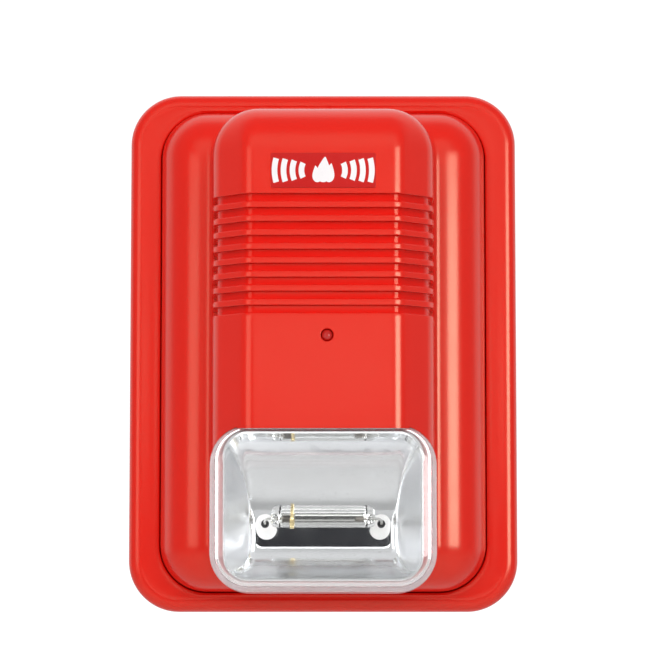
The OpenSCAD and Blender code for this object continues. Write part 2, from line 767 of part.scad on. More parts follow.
module trimmer_rotor() color("white") difference() {
  peg(trimmer_place, rotor_r, board_d - trimmer_t - 0.1, board_d - trimmer_t + 1.45);
  post(trimmer_place, 2.2, 0.5, board_d - trimmer_t - 1, board_d - trimmer_t + 0.7);
  post(trimmer_place, 0.5, 2.2, board_d - trimmer_t - 1, board_d - trimmer_t + 0.7);
}

base_plate();
terminal_block();
terminal_bars();
link_strips();
contact_housing();
contact_springs();
terminal_screw(0);  // terminal_screw_1
terminal_screw(1);  // terminal_screw_2
terminal_screw(2);  // terminal_screw_3
terminal_screw(3);  // terminal_screw_4
clamp_cage(0);  // clamp_cage_1
clamp_cage(1);  // clamp_cage_2
clamp_cage(2);  // clamp_cage_3
clamp_cage(3);  // clamp_cage_4
front_housing();
strobe_lens();
reflector();
flash_tube();
tube_electrodes();
tube_leads();
lead_grommets();
lead_pads();
trigger_wire();
status_led();
led_spacer();
label_plate();
main_board();
flash_capacitor();
transformer_core();
transformer_coil();
trigger_coil();
trigger_capacitor();
switching_transistor();
controller_chip();
rectifier_diodes();
resistors();
sounder_inductor();
sounder_case();
sounder_cap();
piezo_disc();
piezo_ceramic();
disc_seal();
sounder_leads();
sounder_screws();
board_screws();
reflector_screws();
cover_screws();
rear_cover();
contact_pins();
dip_body();
dip_slider(0);  // dip_slider_1
dip_slider(1);  // dip_slider_2
dip_slider(2);  // dip_slider_3
dip_slider(3);  // dip_slider_4
trimmer_body();
trimmer_rotor();
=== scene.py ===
"""Horn strobe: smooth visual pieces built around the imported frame.

Lengths in the building functions are millimetres: x to the right, z up, and
"depth" the distance out from the wall.  place() turns them into the frame's metres.
"""

import json
import math

import bmesh
import bpy
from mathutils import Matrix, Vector


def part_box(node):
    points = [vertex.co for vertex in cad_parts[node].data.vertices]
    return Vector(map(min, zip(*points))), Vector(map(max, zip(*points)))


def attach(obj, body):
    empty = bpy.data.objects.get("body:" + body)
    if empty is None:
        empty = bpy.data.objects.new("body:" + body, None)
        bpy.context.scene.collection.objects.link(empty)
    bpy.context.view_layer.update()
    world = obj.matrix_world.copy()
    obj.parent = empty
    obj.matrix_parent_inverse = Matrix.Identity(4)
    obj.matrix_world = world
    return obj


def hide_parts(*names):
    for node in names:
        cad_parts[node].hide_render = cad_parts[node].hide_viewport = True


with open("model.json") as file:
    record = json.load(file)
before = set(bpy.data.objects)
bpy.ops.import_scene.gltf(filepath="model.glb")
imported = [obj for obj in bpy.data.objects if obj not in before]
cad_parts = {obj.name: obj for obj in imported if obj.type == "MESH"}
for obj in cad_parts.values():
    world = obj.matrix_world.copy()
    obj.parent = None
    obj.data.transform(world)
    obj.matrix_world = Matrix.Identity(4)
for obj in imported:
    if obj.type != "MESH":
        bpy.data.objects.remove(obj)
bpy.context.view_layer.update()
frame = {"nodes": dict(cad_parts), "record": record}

MM = 0.001

# ---------------------------------------------------------------- sizes


def span(node):
    """A CAD node's box as (x low, x high), (depth low, depth high), (z low, z high)."""
    low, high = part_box(node)
    x = (low.x / MM, high.x / MM)
    depth = (-high.y / MM, -low.y / MM)
    z = (low.z / MM, high.z / MM)
    return x, depth, z


def middle(pair):
    return (pair[0] + pair[1]) / 2


BASE_X, BASE_DEPTH, BASE_Z = span("base_plate")
HEAD_DEPTH = span("front_housing")[1]
LENS_X, LENS_DEPTH, LENS_Z = span("strobe_lens")
TUBE_X, TUBE_DEPTH, TUBE_Z = span("flash_tube")
LABEL_X, LABEL_DEPTH, LABEL_Z = span("label_plate")
LED_X, LED_DEPTH, LED_Z = span("status_led")

FLOOR_T = 2.5
POCKET_WALL = 2.0
RIM_T = 2.2
FLANGE_R = 13.7
STEP_W = 87.6
STEP_H = 129.6
STEP_R = 12.5
SHOULDER_FOOT = 11.0
SHOULDER_RISE = 13.0
SKIRT_DEPTH = HEAD_DEPTH[0]
TOWER_W = 58.9
TOWER_TOP = 62.2
TOWER_BOTTOM = -64.3
TOWER_R = 12.0
TOWER_DEPTH = HEAD_DEPTH[1]
TOWER_DRAFT = 0.6
DRAFT_FROM = 14.0
DRAFT_RUN = 24.0
BEVEL_SIDE = 7.0 / 12
BEVEL_FRONT = 5.0 / 12
WALL = 2.4
GROOVE_Z = [8.1 + 3.6 * i for i in range(9)]
GROOVE_HALF = 1.0
GROOVE_DEEP = 1.2
GROOVE_FOOT = 27.0
SEAT_DEPTH = 26.0
LENS_R = 11.0
LENS_EDGE = 4.0
LENS_WALL = 2.0
LENS_DRAFT = 1.0
LENS_FRONT_TOP = -22.5
LENS_LEDGE = 47.45
MOUTH_DEPTH = 46.0
BOWL_DEPTH = 34.3
BOWL_Z = -42.4
TUBE_R = 2.25
LEAD_X = 15.1
LEAD_Z = -46.7
WALL_SCREW_X = 30
SOUND_SLOT_X = 28.5
LENS_ROWS = (-50, -42, -34)
LENS_COLS = 6
LENS_ARCS = 20
OUTWARDS = (0, -1, 0)


def place(x, depth, z):
    return Vector((x * MM, -depth * MM, z * MM))


def from_wall(point):
    """How far out from the wall a point of the frame is, in millimetres."""
    return -point.y / MM


def level(points, depth):
    """The points of an outline, placed at a depth."""
    return [place(p[0], depth, p[1]) for p in points]


def between(a, b, t):
    return a * (1 - t) + b * t


def sweep(start, end, steps):
    """Cosine and sine at even steps from one angle to another, in degrees."""
    turns = [math.radians(start + (end - start) * k / steps) for k in range(steps + 1)]
    return [(math.cos(t), math.sin(t)) for t in turns]


# ---------------------------------------------------------------- meshes


def new_object(name, points, faces):
    mesh = bpy.data.meshes.new(name)
    mesh.from_pydata([tuple(p) for p in points], [], faces)
    mesh.validate()
    obj = bpy.data.objects.new(name, mesh)
    bpy.context.scene.collection.objects.link(obj)
    return obj


def tidy(obj, weld=2e-6):
    """Welds doubles and turns every face outwards."""
    bm = bmesh.new()
    bm.from_mesh(obj.data)
    bmesh.ops.remove_doubles(bm, verts=bm.verts, dist=weld)
    bmesh.ops.dissolve_degenerate(bm, edges=bm.edges, dist=1e-7)
    bmesh.ops.recalc_face_normals(bm, faces=bm.faces)
    bm.to_mesh(obj.data)
    bm.free()
    return obj


def shade(obj, angle, weighted):
    obj.data.shade_smooth()
    obj.data.set_sharp_from_angle(angle=math.radians(angle))
    if weighted:
        mod = obj.modifiers.new("normals", "WEIGHTED_NORMAL")
        mod.keep_sharp = True
        mod.weight = 100


def boolean(target, cutter, operation):
    """Applies an exact boolean and removes the cutter."""
    mod = target.modifiers.new("cut", "BOOLEAN")
    mod.operation = operation
    mod.solver = "EXACT"
    mod.object = cutter
    bpy.context.view_layer.update()
    graph = bpy.context.evaluated_depsgraph_get()
    mesh = bpy.data.meshes.new_from_object(target.evaluated_get(graph))
    target.modifiers.clear()
    target.data = mesh
    bpy.data.objects.remove(cutter)
    return target


def join(name, objects):
    """One object from several."""
    bm = bmesh.new()
    for obj in objects:
        part = obj.data.copy()
        part.transform(obj.matrix_world)
        bm.from_mesh(part)
        bpy.data.objects.remove(obj)
    mesh = bpy.data.meshes.new(name)
    bm.to_mesh(mesh)
    bm.free()
    joined = bpy.data.objects.new(name, mesh)
    bpy.context.scene.collection.objects.link(joined)
    return joined


# A rounded rectangle is a dict of half width hx, bottom z0, top z1 and corner radius r.


def rect(w, h, r, z=0.0):
    return dict(hx=w / 2, z0=z - h / 2, z1=z + h / 2, r=r)


def shrink(s, inset):
    return dict(hx=s["hx"] - inset, z0=s["z0"] + inset, z1=s["z1"] - inset, r=max(s["r"] - inset, 0.0))


def inset_at(s, x, z):
    """How far a point lies inside a rounded rectangle."""
    cx = max(abs(x) - (s["hx"] - s["r"]), 0.0)
    mid = (s["z0"] + s["z1"]) / 2
    half = (s["z1"] - s["z0"]) / 2
    cz = max(abs(z - mid) - (half - s["r"]), 0.0)
    if cx > 0 or cz > 0:
        return s["r"] - math.hypot(cx, cz)
    return min(s["hx"] - abs(x), half - abs(z - mid))


def bridge(a, b, count):
    """Faces between the loop of points that begins at a and the one that begins at b."""
    return [(a + i, a + (i + 1) % count, b + (i + 1) % count, b + i) for i in range(count)]


def quads(start, loops, count):
    """Faces between neighbouring loops of a skin whose points begin at start."""
    faces = []
    for a in range(start, start + (loops - 1) * count, count):
        faces += bridge(a, a + count, count)
    return faces


def quarter(cx, cz, r, start, first, last, count):
    """Some of the points of a quarter turn, for outline()."""
    points = []
    for i in range(first, last):
        t = math.radians(start + 90.0 * i / count)
        points.append((cx + r * math.cos(t), cz + r * math.sin(t), math.cos(t), math.sin(t), None))
    return points


def outline(s, rows=(), cols=2, arcs=12):
    """Points (x, z, normal x, normal z, row) round a rounded rectangle, from its lower right."""
    r = s["r"]
    low = s["z0"] + r
    high = s["z1"] - r
    flat = s["hx"] - r
    heights = [low, *[min(max(z, low), high) for z in rows], high]
    last = len(heights) - 1
    points = [(s["hx"], z, 1.0, 0.0, m) for m, z in enumerate(heights)]
    points += quarter(flat, high, r, 0, 1, arcs + 1, arcs)
    points += [(flat * (1 - 2 * c / cols), s["z1"], 0.0, 1.0, None) for c in range(1, cols)]
    points += quarter(-flat, high, r, 90, 0, arcs, arcs)
    points += [(-s["hx"], heights[m], -1.0, 0.0, m) for m in range(last, -1, -1)]
    points += quarter(-flat, low, r, 180, 1, arcs + 1, arcs)
    points += [(-flat * (1 - 2 * c / cols), s["z0"], 0.0, -1.0, None) for c in range(1, cols)]
    points += quarter(flat, low, r, 270, 0, arcs, arcs)
    return points


def loft(name, loops, grid=None, closed=False):
    """A skin over loops of equal length: its ends are flat, or the last is a grid, or they meet."""
    count = len(loops[0])
    points = [p for loop in loops for p in loop]
    last = len(points) - count
    faces = quads(0, len(loops), count)
    if closed:
        faces += bridge(last, 0, count)
        return tidy(new_object(name, points, faces))
    faces.append(tuple(reversed(range(count))))
    if grid:
        add_grid(points, faces, last, grid)
    else:
        faces.append(tuple(range(last, last + count)))
    return tidy(new_object(name, points, faces))


def add_grid(points, faces, base, grid):
    """Fills a loop, whose corners have closed to points, with rows and columns."""
    rows, cols, arcs = grid
    top = rows - 1
    left = base + rows + arcs + cols - 1 + arcs
    bottom = left + rows + arcs - 1
    index = {}
    for m in range(rows):
        index[m, 0] = base + m
        index[m, cols] = left + (top - m)
    for c in range(1, cols):
        index[top, c] = base + rows + arcs + c - 1
        index[0, c] = bottom + (cols - c)
    for m in range(1, top):
        for c in range(1, cols):
            index[m, c] = len(points)
            points.append(between(points[index[m, 0]], points[index[m, cols]], c / cols))
    for m in range(top):
        for c in range(cols):
            faces.append((index[m, c], index[m + 1, c], index[m + 1, c + 1], index[m, c + 1]))


def prism(name, profile, d0, d1):
    """A flat outline of (x, z) points, extruded from depth d0 to d1."""
    count = len(profile)
    points = level(profile, d0) + level(profile, d1)
    faces = [tuple(range(count)), tuple(range(2 * count - 1, count - 1, -1))]
    faces += bridge(0, count, count)
    return tidy(new_object(name, points, faces))


def disc(x, z, r, count=48):
    turn = 2 * math.pi / count
    return [(x + r * math.cos(turn * i), z + r * math.sin(turn * i)) for i in range(count)]


def rounded(s, arcs=12, x=0.0):
    return [(x + p[0], p[1]) for p in outline(s, (), 2, arcs)]


def oblong(x, length, r):
    return rounded(rect(length, 2 * r, r), 16, x)


def lathe(name, profile, centre, axis, sides=64, closed=False):
    """A profile of (radius, distance along the axis), turned about an axis through a point."""
    axis = Vector(axis).normalized()
    side = axis.orthogonal().normalized()
    other = axis.cross(side)
    loops = []
    for r, h in profile:
        ring = disc(0, 0, r, sides)
        loops.append([centre + (axis * h + side * a + other * b) * MM for a, b in ring])
    return loft(name, loops, closed=closed)


def wire(name, path, radius, sides=14):
    """A round wire along points given in metres, with rounded ends."""
    loops = []
    count = len(path)
    up = None
    for k in range(count):
        ahead = path[min(k + 1, count - 1)] - path[max(k - 1, 0)]
        ahead.normalize()
        if up is None:
            up = ahead.orthogonal().normalized()
        up = (up - ahead * up.dot(ahead)).normalized()
        other = ahead.cross(up)
        for scale, shift in end_rings(k, count):
            loop = []
            for a, b in disc(0, 0, 1, sides):
                loop.append(path[k] + ((up * a + other * b) * scale + ahead * shift) * radius * MM)
            loops.append(loop)
    return loft(name, loops)


def end_rings(k, count):
    """A wire's rings at a point of its path, as (share of the radius, shift along the path)."""
    if k == 0:
        return [(0.35, -0.25), (0.8, -0.15), (1.0, 0.0)]
    if k == count - 1:
        return [(1.0, 0.0), (0.8, 0.15), (0.35, 0.25)]
    return [(1.0, 0.0)]


def bend(points, steps=8):
    """A smooth path through points."""
    path = []
    ends = [points[0] * 2 - points[1], *points, points[-1] * 2 - points[-2]]
    for k in range(1, len(ends) - 2):
        a, b, c, d = ends[k - 1 : k + 3]
        for i in range(steps):
            t = i / steps
            move = b * 2 + (c - a) * t + (a * 2 - b * 5 + c * 4 - d) * t**2
            path.append((move + (b * 3 - a - c * 3 + d) * t**3) * 0.5)
    path.append(points[-1])
    return path


# ---------------------------------------------------------------- head


def shoulder(inset, shell):
    """Depth of the step's rounded shoulder at an inset from its outline."""
    r = STEP_R - shell
    rise = SHOULDER_RISE - shell
    share = min(max(inset / r, 0.0), 1.0)
    return SHOULDER_FOOT + rise * math.sqrt(1 - (1 - share) ** 2)


def tower_at(depth, shell):
    """The tower's outline at a depth: it leans in between two depths."""
    t = min(max((depth - DRAFT_FROM) / DRAFT_RUN, 0.0), 1.0) * TOWER_DRAFT + shell
    s = dict(hx=TOWER_W / 2, z0=TOWER_BOTTOM, z1=TOWER_TOP, r=TOWER_R)
    return dict(shrink(s, t), r=TOWER_R - shell)


def groove_rows():
    """Heights and depths of the rows that shape the grooves."""
    lip = 0.3
    fillet = 0.25
    half = [(GROOVE_HALF + lip - lip * c, lip - lip * s) for c, s in sweep(90, 0, 3)]
    for c, s in sweep(0, 90, 3):
        half.append((GROOVE_HALF - fillet + fillet * c, GROOVE_DEEP - fillet + fillet * s))
    rows = []
    for centre in GROOVE_Z:
        rows += [(centre - dz, g) for dz, g in half]
        rows += [(centre + dz, g) for dz, g in reversed(half)]
    return rows


def head_rows(grooved):
    """Heights and groove depths of the rows across the head."""
    plain = [(z, 0.0) for z in range(-48, 50, 6)]
    if not grooved:
        return plain
    low = GROOVE_Z[0] - 2
    high = GROOVE_Z[-1] + 2
    return sorted([row for row in plain if row[0] < low or row[0] > high] + groove_rows())


def head_solid(name, shell, grooved, bottom):
    """The head's outer form, shrunk by a shell thickness, closed below at a depth."""
    rows = head_rows(grooved)
    heights = [z for z, g in rows]
    deep = [0.0, *[g for z, g in rows], 0.0]
    cols, arcs = 12, 14
    step = shrink(rect(STEP_W, STEP_H, STEP_R), shell)
    start = outline(step, heights, cols, arcs)

    def ring(depth):
        return outline(tower_at(depth, shell), heights, cols, arcs)

    foot = foot_points(start, step, ring, shell)
    loops = [level(start, bottom), level(start, SHOULDER_FOOT)]
    loops += foot_loops(start, foot, step, shell)
    loops += wall_loops(foot, ring, deep)
    loops += edge_loops(ring, deep, TOWER_R - shell)
    return loft(name, loops, (len(heights) + 2, cols, arcs))


def foot_points(start, step, ring, shell):
    """For each point of the outline, where the tower's wall meets the shoulder, and a fillet size."""
    depth = [22.0] * len(start)
    for _ in range(2):
        foot = []
        for i, p in enumerate(start):
            q = ring(depth[i])[i]
            depth[i] = shoulder(inset_at(step, q[0], q[1]), shell)
            reach = math.hypot(q[0] - p[0], q[1] - p[1])
            foot.append((q[0], q[1], depth[i], min(2.2, 0.7 * reach), reach))
    return foot


def foot_loops(start, foot, step, shell):
    """From the step's edge, over the shoulder, through the fillet and onto the tower's wall."""
    loops = []
    steps = 16
    for j in range(1, steps + 1):
        share = (j / steps) ** 1.6
        loop = []
        for p, q in zip(start, foot):
            t = share * (q[4] - q[3]) / q[4]
            x = p[0] + (q[0] - p[0]) * t
            z = p[1] + (q[1] - p[1]) * t
            loop.append(place(x, shoulder(inset_at(step, x, z), shell), z))
        loops.append(loop)
    edge = loops[-1]
    for j in range(1, 7):
        t = j / 6
        loop = []
        for i, q in enumerate(foot):
            corner = place(q[0], q[2], q[1])
            up = place(q[0], q[2] + q[3], q[1])
            loop.append(edge[i] * (1 - t) ** 2 + corner * (2 * t * (1 - t)) + up * t**2)
        loops.append(loop)
    return loops


def fade(depth):
    """The share of a groove's depth at a depth on the tower's sides, up from where it begins."""
    t = min(max((depth - GROOVE_FOOT + 0.7) / 0.9, 0.0), 1.0)
    return t * t * (3 - 2 * t)


def sink(p, deep, share):
    """How deep the groove is at an outline point."""
    return 0.0 if p[4] is None else deep[p[4]] * share


def wall_loops(foot, ring, deep):
    """Up the tower's wall to where its front edge begins."""
    loops = []
    top = TOWER_DEPTH - TOWER_R
    for t in (0.02, 0.04, 0.06, 0.08, 0.1, 0.25, 0.5, 0.75, 0.99):
        loop = []
        for i, q in enumerate(foot):
            depth = q[2] + q[3] + (top - q[2] - q[3]) * t
            p = ring(depth)[i]
            g = sink(p, deep, fade(depth))
            loop.append(place(p[0] - g * p[2], depth, p[1] - g * p[3]))
        loops.append(loop)
    return loops


def edge_profile(r):
    """The front edge in section: a bevel with both its edges rounded.

    Each row is (inset, rise, cosine, sine), with the slope's angle.  The last closes the corners."""
    side, front = BEVEL_SIDE * r, BEVEL_FRONT * r
    deep = r + (front - side) * math.tan(math.radians(22.5))
    rows = [(side * (1 - c), side * s, c, s) for c, s in sweep(0, 45, 8)]
    last = [(deep - front * c, r - front + front * s, c, s) for c, s in sweep(45, 90, 8)]
    start, end = rows[-1], last[0]
    for k in range(1, 5):
        rows.append((between(start[0], end[0], k / 5), between(start[1], end[1], k / 5), *start[2:]))
    return [*rows, *last, (r, r, 0.0, 1.0)]


def edge_loops(ring, deep, r):
    """The tower's front edge: a bevel at its sides that turns into a plain round at its top."""
    loops = []
    top = TOWER_DEPTH - TOWER_R
    wall = ring(top)
    profile = edge_profile(r)
    last = len(profile) - 1
    for k, (inset, rise, c, s) in enumerate(profile):
        b = math.radians(min(90 * k / (last - 1), 90))
        loop = []
        for p in wall:
            upper = max(p[3], 0.0) ** 2
            i = r if k == last else between(inset, (r - 0.3) * (1 - math.cos(b)), upper)
            up = between(rise, r * math.sin(b), upper)
            g = sink(p, deep, 1.0)
            loop.append(place(p[0] - p[2] * (i + g * c), top + up - g * s, p[1] - p[3] * i))
        loops.append(loop)
    return loops


def lens_room():
    """The notch in the tower that the lens fills, a little clear of it all round."""
    gap = 0.12
    ledge = LENS_LEDGE + gap
    loops = []
    for depth in (SEAT_DEPTH, 36.0, ledge, ledge + 0.01, 60.0):
        inset = lens_drop(min(depth, LENS_LEDGE)) - gap
        limit = LENS_FRONT_TOP + gap if depth > ledge else None
        loops.append(level(lens_outline(inset, LENS_R - inset, limit), depth))
    top = LENS_Z[1] - LENS_R - 0.5
    below = [(-60.0, -90.0), (60.0, -90.0), (60.0, top), (-60.0, top)]
    return boolean(loft("notch", loops), prism("below", below, SEAT_DEPTH, 61), "UNION")


def build_head():
    """The front cover: a shell with a seat for the lens, sound slots and the LED's hole."""
    shell = head_solid("front_housing_shell", 0.0, True, SKIRT_DEPTH)
    hollow = head_solid("hollow", WALL, False, SKIRT_DEPTH - 2)
    seat = prism("seat", rounded(dict(hx=28.2, z0=-63.3, z1=-22.0, r=10.5)), 21.6, SEAT_DEPTH)
    window = prism("window", rounded(rect(51, 36, 6, BOWL_Z)), 20, 28)
    boolean(seat, window, "DIFFERENCE")
    boolean(shell, hollow, "DIFFERENCE")
    boolean(shell, seat, "UNION")
    boolean(shell, lens_room(), "DIFFERENCE")
    holes = []
    for z in GROOVE_Z:
        for side in (-1, 1):
            slot = rounded(rect(10.0, 1.4, 0.5, z), 3, side * SOUND_SLOT_X)
            holes.append(prism("slot", slot, 29, 37))
    holes.append(led_hole())
    boolean(shell, join("holes", holes), "DIFFERENCE")
    return tidy(shell, 5e-6)


def led_hole():
    face = TOWER_DEPTH
    profile = [(1.62, 40.0), (1.62, face - 0.25), (1.7, face - 0.1), (1.9, face + 0.02)]
    profile.append((2.2, face + 0.6))
    return lathe("led_hole", profile, place(middle(LED_X), 0, middle(LED_Z)), OUTWARDS, 48)


# ---------------------------------------------------------------- back box


def base_profile():
    """Outlines and their depths, from the floor's front round the flange to the floor's back."""
    outer = rect(BASE_X[1] * 2, BASE_Z[1] * 2, FLANGE_R)
    pocket = rect(88.2, 130.2, 12.8)
    face = BASE_DEPTH[1]
    loops = [(shrink(pocket, 1.4), FLOOR_T), (shrink(pocket, 1.0), FLOOR_T + 0.05)]
    for c, s in sweep(60, 0, 2):
        loops.append((shrink(pocket, 1 - c), FLOOR_T + 1 - s))
    loops.append((pocket, face - 1.0))
    for c, s in sweep(0, 90, 3):
        loops.append((shrink(pocket, 0.3 * c - 0.3), face - 0.55 + 0.3 * s))
    first, last = shrink(pocket, -0.4), shrink(outer, 3.2)
    for k in (0.15, 0.35, 0.6, 0.85, 0.97):
        dish = 0.25 * (1 - math.sin(math.pi * (0.5 + k / 2)) ** 8) * (1 - k) ** 0.5
        loops.append(({side: between(first[side], last[side], k) for side in first}, face - dish))
    for c, s in sweep(90, 0, 8):
        loops.append((shrink(outer, 3.2 * (1 - c)), face - 3.2 + 3.2 * s))
    for inset, depth in ((0.0, 0.35), (0.1, 0.1), (0.35, 0.0), (RIM_T - 0.3, 0.0), (RIM_T, 0.3)):
        loops.append((shrink(outer, inset), depth))
    under = face - RIM_T
    loops.append((shrink(outer, RIM_T), under - 0.25))
    loops.append((shrink(outer, RIM_T + 0.2), under))
    back = shrink(pocket, -POCKET_WALL)
    for inset, depth in ((-0.2, under), (0.0, under - 0.25), (0.0, 0.3), (0.3, 0.0)):
        loops.append((shrink(back, inset), depth))
    return loops


def build_base():
    """The back box: floor, pocket and flange, with bosses, ribs, screw slots and the cable hole."""
    loops = [level(outline(s, (-40, -20, 0, 20, 40), 8, 20), depth) for s, depth in base_profile()]
    body = loft("back_box_shell", loops)
    adds = [chamfered(oblong(x, 16.8, 4.6), x, 0.3) for x in (-WALL_SCREW_X, WALL_SCREW_X)]
    adds.append(chamfered(disc(0, 0, 12.6, 64), 0, 0.4))
    rib_t = 1.2
    for side in (-1, 1):
        adds += [rib(x, side * 67.85, rib_t, 2.1) for x in (-36, -12, 12, 36)]
        adds += [rib(side * 48.35, z, 5.1, rib_t) for z in (-48, -16, 16, 48)]
    boolean(body, join("adds", adds), "UNION")
    holes = [prism("slot", oblong(x, 12, 2.2), -1, 6) for x in (-WALL_SCREW_X, WALL_SCREW_X)]
    cable = [(11.6, -1), (11.0, 0.6), (11.0, 3.6), (11.4, 4.3)]
    holes.append(lathe("cable", cable, place(0, 0, 0), OUTWARDS, 64))
    boolean(body, join("holes", holes), "DIFFERENCE")
    return tidy(body, 5e-6)


def chamfered(profile, x, edge):
    """A boss on the back box's floor, about a point of its middle row, with a broken front edge."""
    foot, front = 2.0, 4.0
    narrow = []
    for px, pz in profile:
        reach = math.hypot(px - x, pz)
        share = (reach - edge) / reach
        narrow.append((x + (px - x) * share, pz * share))
    return loft("boss", [level(profile, foot), level(profile, front - edge), level(narrow, front)])


def rib(x, z, wide, high):
    """A short rib across the hollow behind the flange."""
    return prism("rib", rounded(rect(wide, high, 0.2, z), 2, x), 0.6, 9.6)


# ---------------------------------------------------------------- lens and reflector


def lens_outline(inset, r, top_limit=None, lift=0.0):
    s = dict(hx=LENS_X[1] - inset, z0=LENS_Z[0] + inset, z1=LENS_Z[1] - inset + lift, r=max(r, 0.0))
    points = outline(s, LENS_ROWS, LENS_COLS, LENS_ARCS)
    if top_limit is None:
        return points
    return [(p[0], min(p[1], top_limit), *p[2:]) for p in points]


def lens_drop(depth):
    """How far the lens has leaned in at a depth."""
    foot = LENS_DEPTH[0]
    return LENS_DRAFT * (depth - foot) / (LENS_DEPTH[1] - LENS_EDGE - foot)


def lens_outer():
    """Outlines of the lens's outside, and their depths, from its foot to the middle of its front."""
    loops = []
    foot = LENS_DEPTH[0]
    for depth, extra in ((foot, 0.3), (foot + 0.1, 0.1), (foot + 0.3, 0.0)):
        loops.append((depth, lens_outline(lens_drop(depth) + extra, LENS_R - extra)))
    for depth in (32.0, 38.0, 43.0, LENS_LEDGE - 0.05):
        loops.append((depth, lens_outline(lens_drop(depth), LENS_R - lens_drop(depth))))
    drop = lens_drop(LENS_LEDGE)
    loops.append((LENS_LEDGE, lens_outline(drop, LENS_R - drop, LENS_FRONT_TOP)))
    start = LENS_DEPTH[1] - LENS_EDGE
    for c, s in sweep(0, 90, 16):
        inset = LENS_DRAFT + LENS_EDGE * (1 - c)
        loops.append((start + LENS_EDGE * s, lens_outline(inset, LENS_R - inset, LENS_FRONT_TOP)))
    for inset in (5.4, 7.5, LENS_R):
        loops.append((LENS_DEPTH[1], lens_outline(inset, LENS_R - inset)))
    return loops


def lens_inner():
    """The same for its inside."""
    foot = LENS_DEPTH[0]
    edge = 2.2
    front = LENS_DEPTH[1] - LENS_WALL
    rows = [(foot, LENS_WALL - 0.3), (foot + 0.1, LENS_WALL - 0.1), (foot + 0.3, LENS_WALL)]
    rows += [(depth, LENS_WALL + lens_drop(depth)) for depth in (32.0, 38.0, 43.0)]
    for c, s in sweep(0, 90, 12):
        rows.append((front - edge + edge * s, LENS_WALL + LENS_DRAFT + edge * (1 - c)))
    rows += [(front, inset) for inset in (5.6, 7.5, LENS_R)]
    lift = -21.9 - (LENS_Z[1] - LENS_WALL)
    return [(depth, lens_outline(inset, LENS_R - inset, None, lift)) for depth, inset in rows]


def build_lens():
    points = []
    faces = []
    starts = []
    skins = [lens_outer(), lens_inner()]
    for skin in skins:
        starts.append(len(points))
        count = len(skin[0][1])
        for depth, loop in skin:
            points += level(loop, depth)
    for start, skin in zip(starts, skins):
        faces += quads(start, len(skin), count)
        base = start + (len(skin) - 1) * count
        add_grid(points, faces, base, (len(LENS_ROWS) + 2, LENS_COLS, LENS_ARCS))
    faces += bridge(*starts, count)
    return tidy(new_object("strobe_lens_moulding", points, faces))


MOUTH_HALF, MOUTH_R = 25.15, 6.0
BACK_HALF, BACK_R = 18.8, 2.0
ARC_R, ARC_Z = 26.7, -46.0
LOW_RISE, LOW_Z = 8.4, -52.5
LOW_RUN = 12.0
BOWL_FILLET = 1.4
BOWL_WALL = 0.8
BOWL_ROWS = [k / 12 for k in range(1, 12)]
BOWL_COLS, BOWL_ARCS = 16, 14


def bowl_at(depth, grow):
    """The bowl's outline at a depth: its upper wall is an arc, its lower wall an ellipse."""
    run = depth - BOWL_DEPTH
    share = run / (MOUTH_DEPTH - BOWL_DEPTH)
    top = ARC_Z + math.sqrt(ARC_R**2 - (ARC_R - run) ** 2)
    bottom = LOW_Z - LOW_RISE * math.sqrt(max(1 - (1 - run / LOW_RUN) ** 2, 0.0))
    near = min(run / BOWL_FILLET, 1.0)
    hx = between(BACK_HALF, MOUTH_HALF, share) - BOWL_FILLET * (1 - math.sqrt(1 - (1 - near) ** 2))
    return shrink(dict(hx=hx, z0=bottom, z1=top, r=between(BACK_R, MOUTH_R, share)), -grow)


def bowl_outline(s):
    low, high = s["z0"] + s["r"], s["z1"] - s["r"]
    return outline(s, [between(low, high, f) for f in BOWL_ROWS], BOWL_COLS, BOWL_ARCS)


def bowl_skin(grow):
    """Loops from the mouth to the middle of the back wall."""
    skin = []
    steps = 40
    for k in range(steps + 1):
        depth = BOWL_DEPTH + (MOUTH_DEPTH - BOWL_DEPTH) * (1 - k / steps) ** 2
        skin.append(level(bowl_outline(bowl_at(depth, grow)), depth - grow * (k > 0)))
    flat = bowl_at(BOWL_DEPTH, grow)
    for inset in (0.4, 1.2, flat["r"]):
        skin.append(level(bowl_outline(shrink(flat, inset)), BOWL_DEPTH - grow))
    return skin


def build_reflector():
    """The bowl, with holes for the leads and two screw posts that stop at its outer skin."""
    chain = bowl_skin(BOWL_WALL)[::-1] + bowl_skin(0.0)
    count = len(chain[0])
    points = [p for loop in chain for p in loop]
    faces = quads(0, len(chain), count)
    for start in (0, len(points) - count):
        add_grid(points, faces, start, (len(BOWL_ROWS) + 2, BOWL_COLS, BOWL_ARCS))
    body = tidy(new_object("reflector_bowl", points, faces))
    holes = []
    for x in (-LEAD_X, LEAD_X):
        holes.append(prism("hole", disc(x, LEAD_Z, 1.05, 40), BOWL_DEPTH - 2, BOWL_DEPTH + 2))
    boolean(body, join("holes", holes), "DIFFERENCE")
    parts = [body]
    for x in (-12, 12):
        post = lathe("post", [(2.6, 18.1), (2.6, 36.2)], place(x, 0, -35.5), OUTWARDS, 40)
        for v in post.data.vertices:
            if from_wall(v.co) > 30:
                v.co.y = -(BOWL_DEPTH + bowl_run(v.co.z / MM) - 0.5) * MM
        parts.append(post)
    return join("reflector_bowl", parts)


def bowl_run(z):
    """How far in front of the back wall the upper arc lies at a height."""
    rise = max(z - ARC_Z, 0.0)
    return ARC_R - math.sqrt(ARC_R**2 - rise**2)


def tube_axis():
    return middle(TUBE_DEPTH), middle(TUBE_Z)


def along_tube(name, profile, sides=48):
    depth, z = tube_axis()
    return lathe(name, profile, place(0, depth, z), (1, 0, 0), sides)


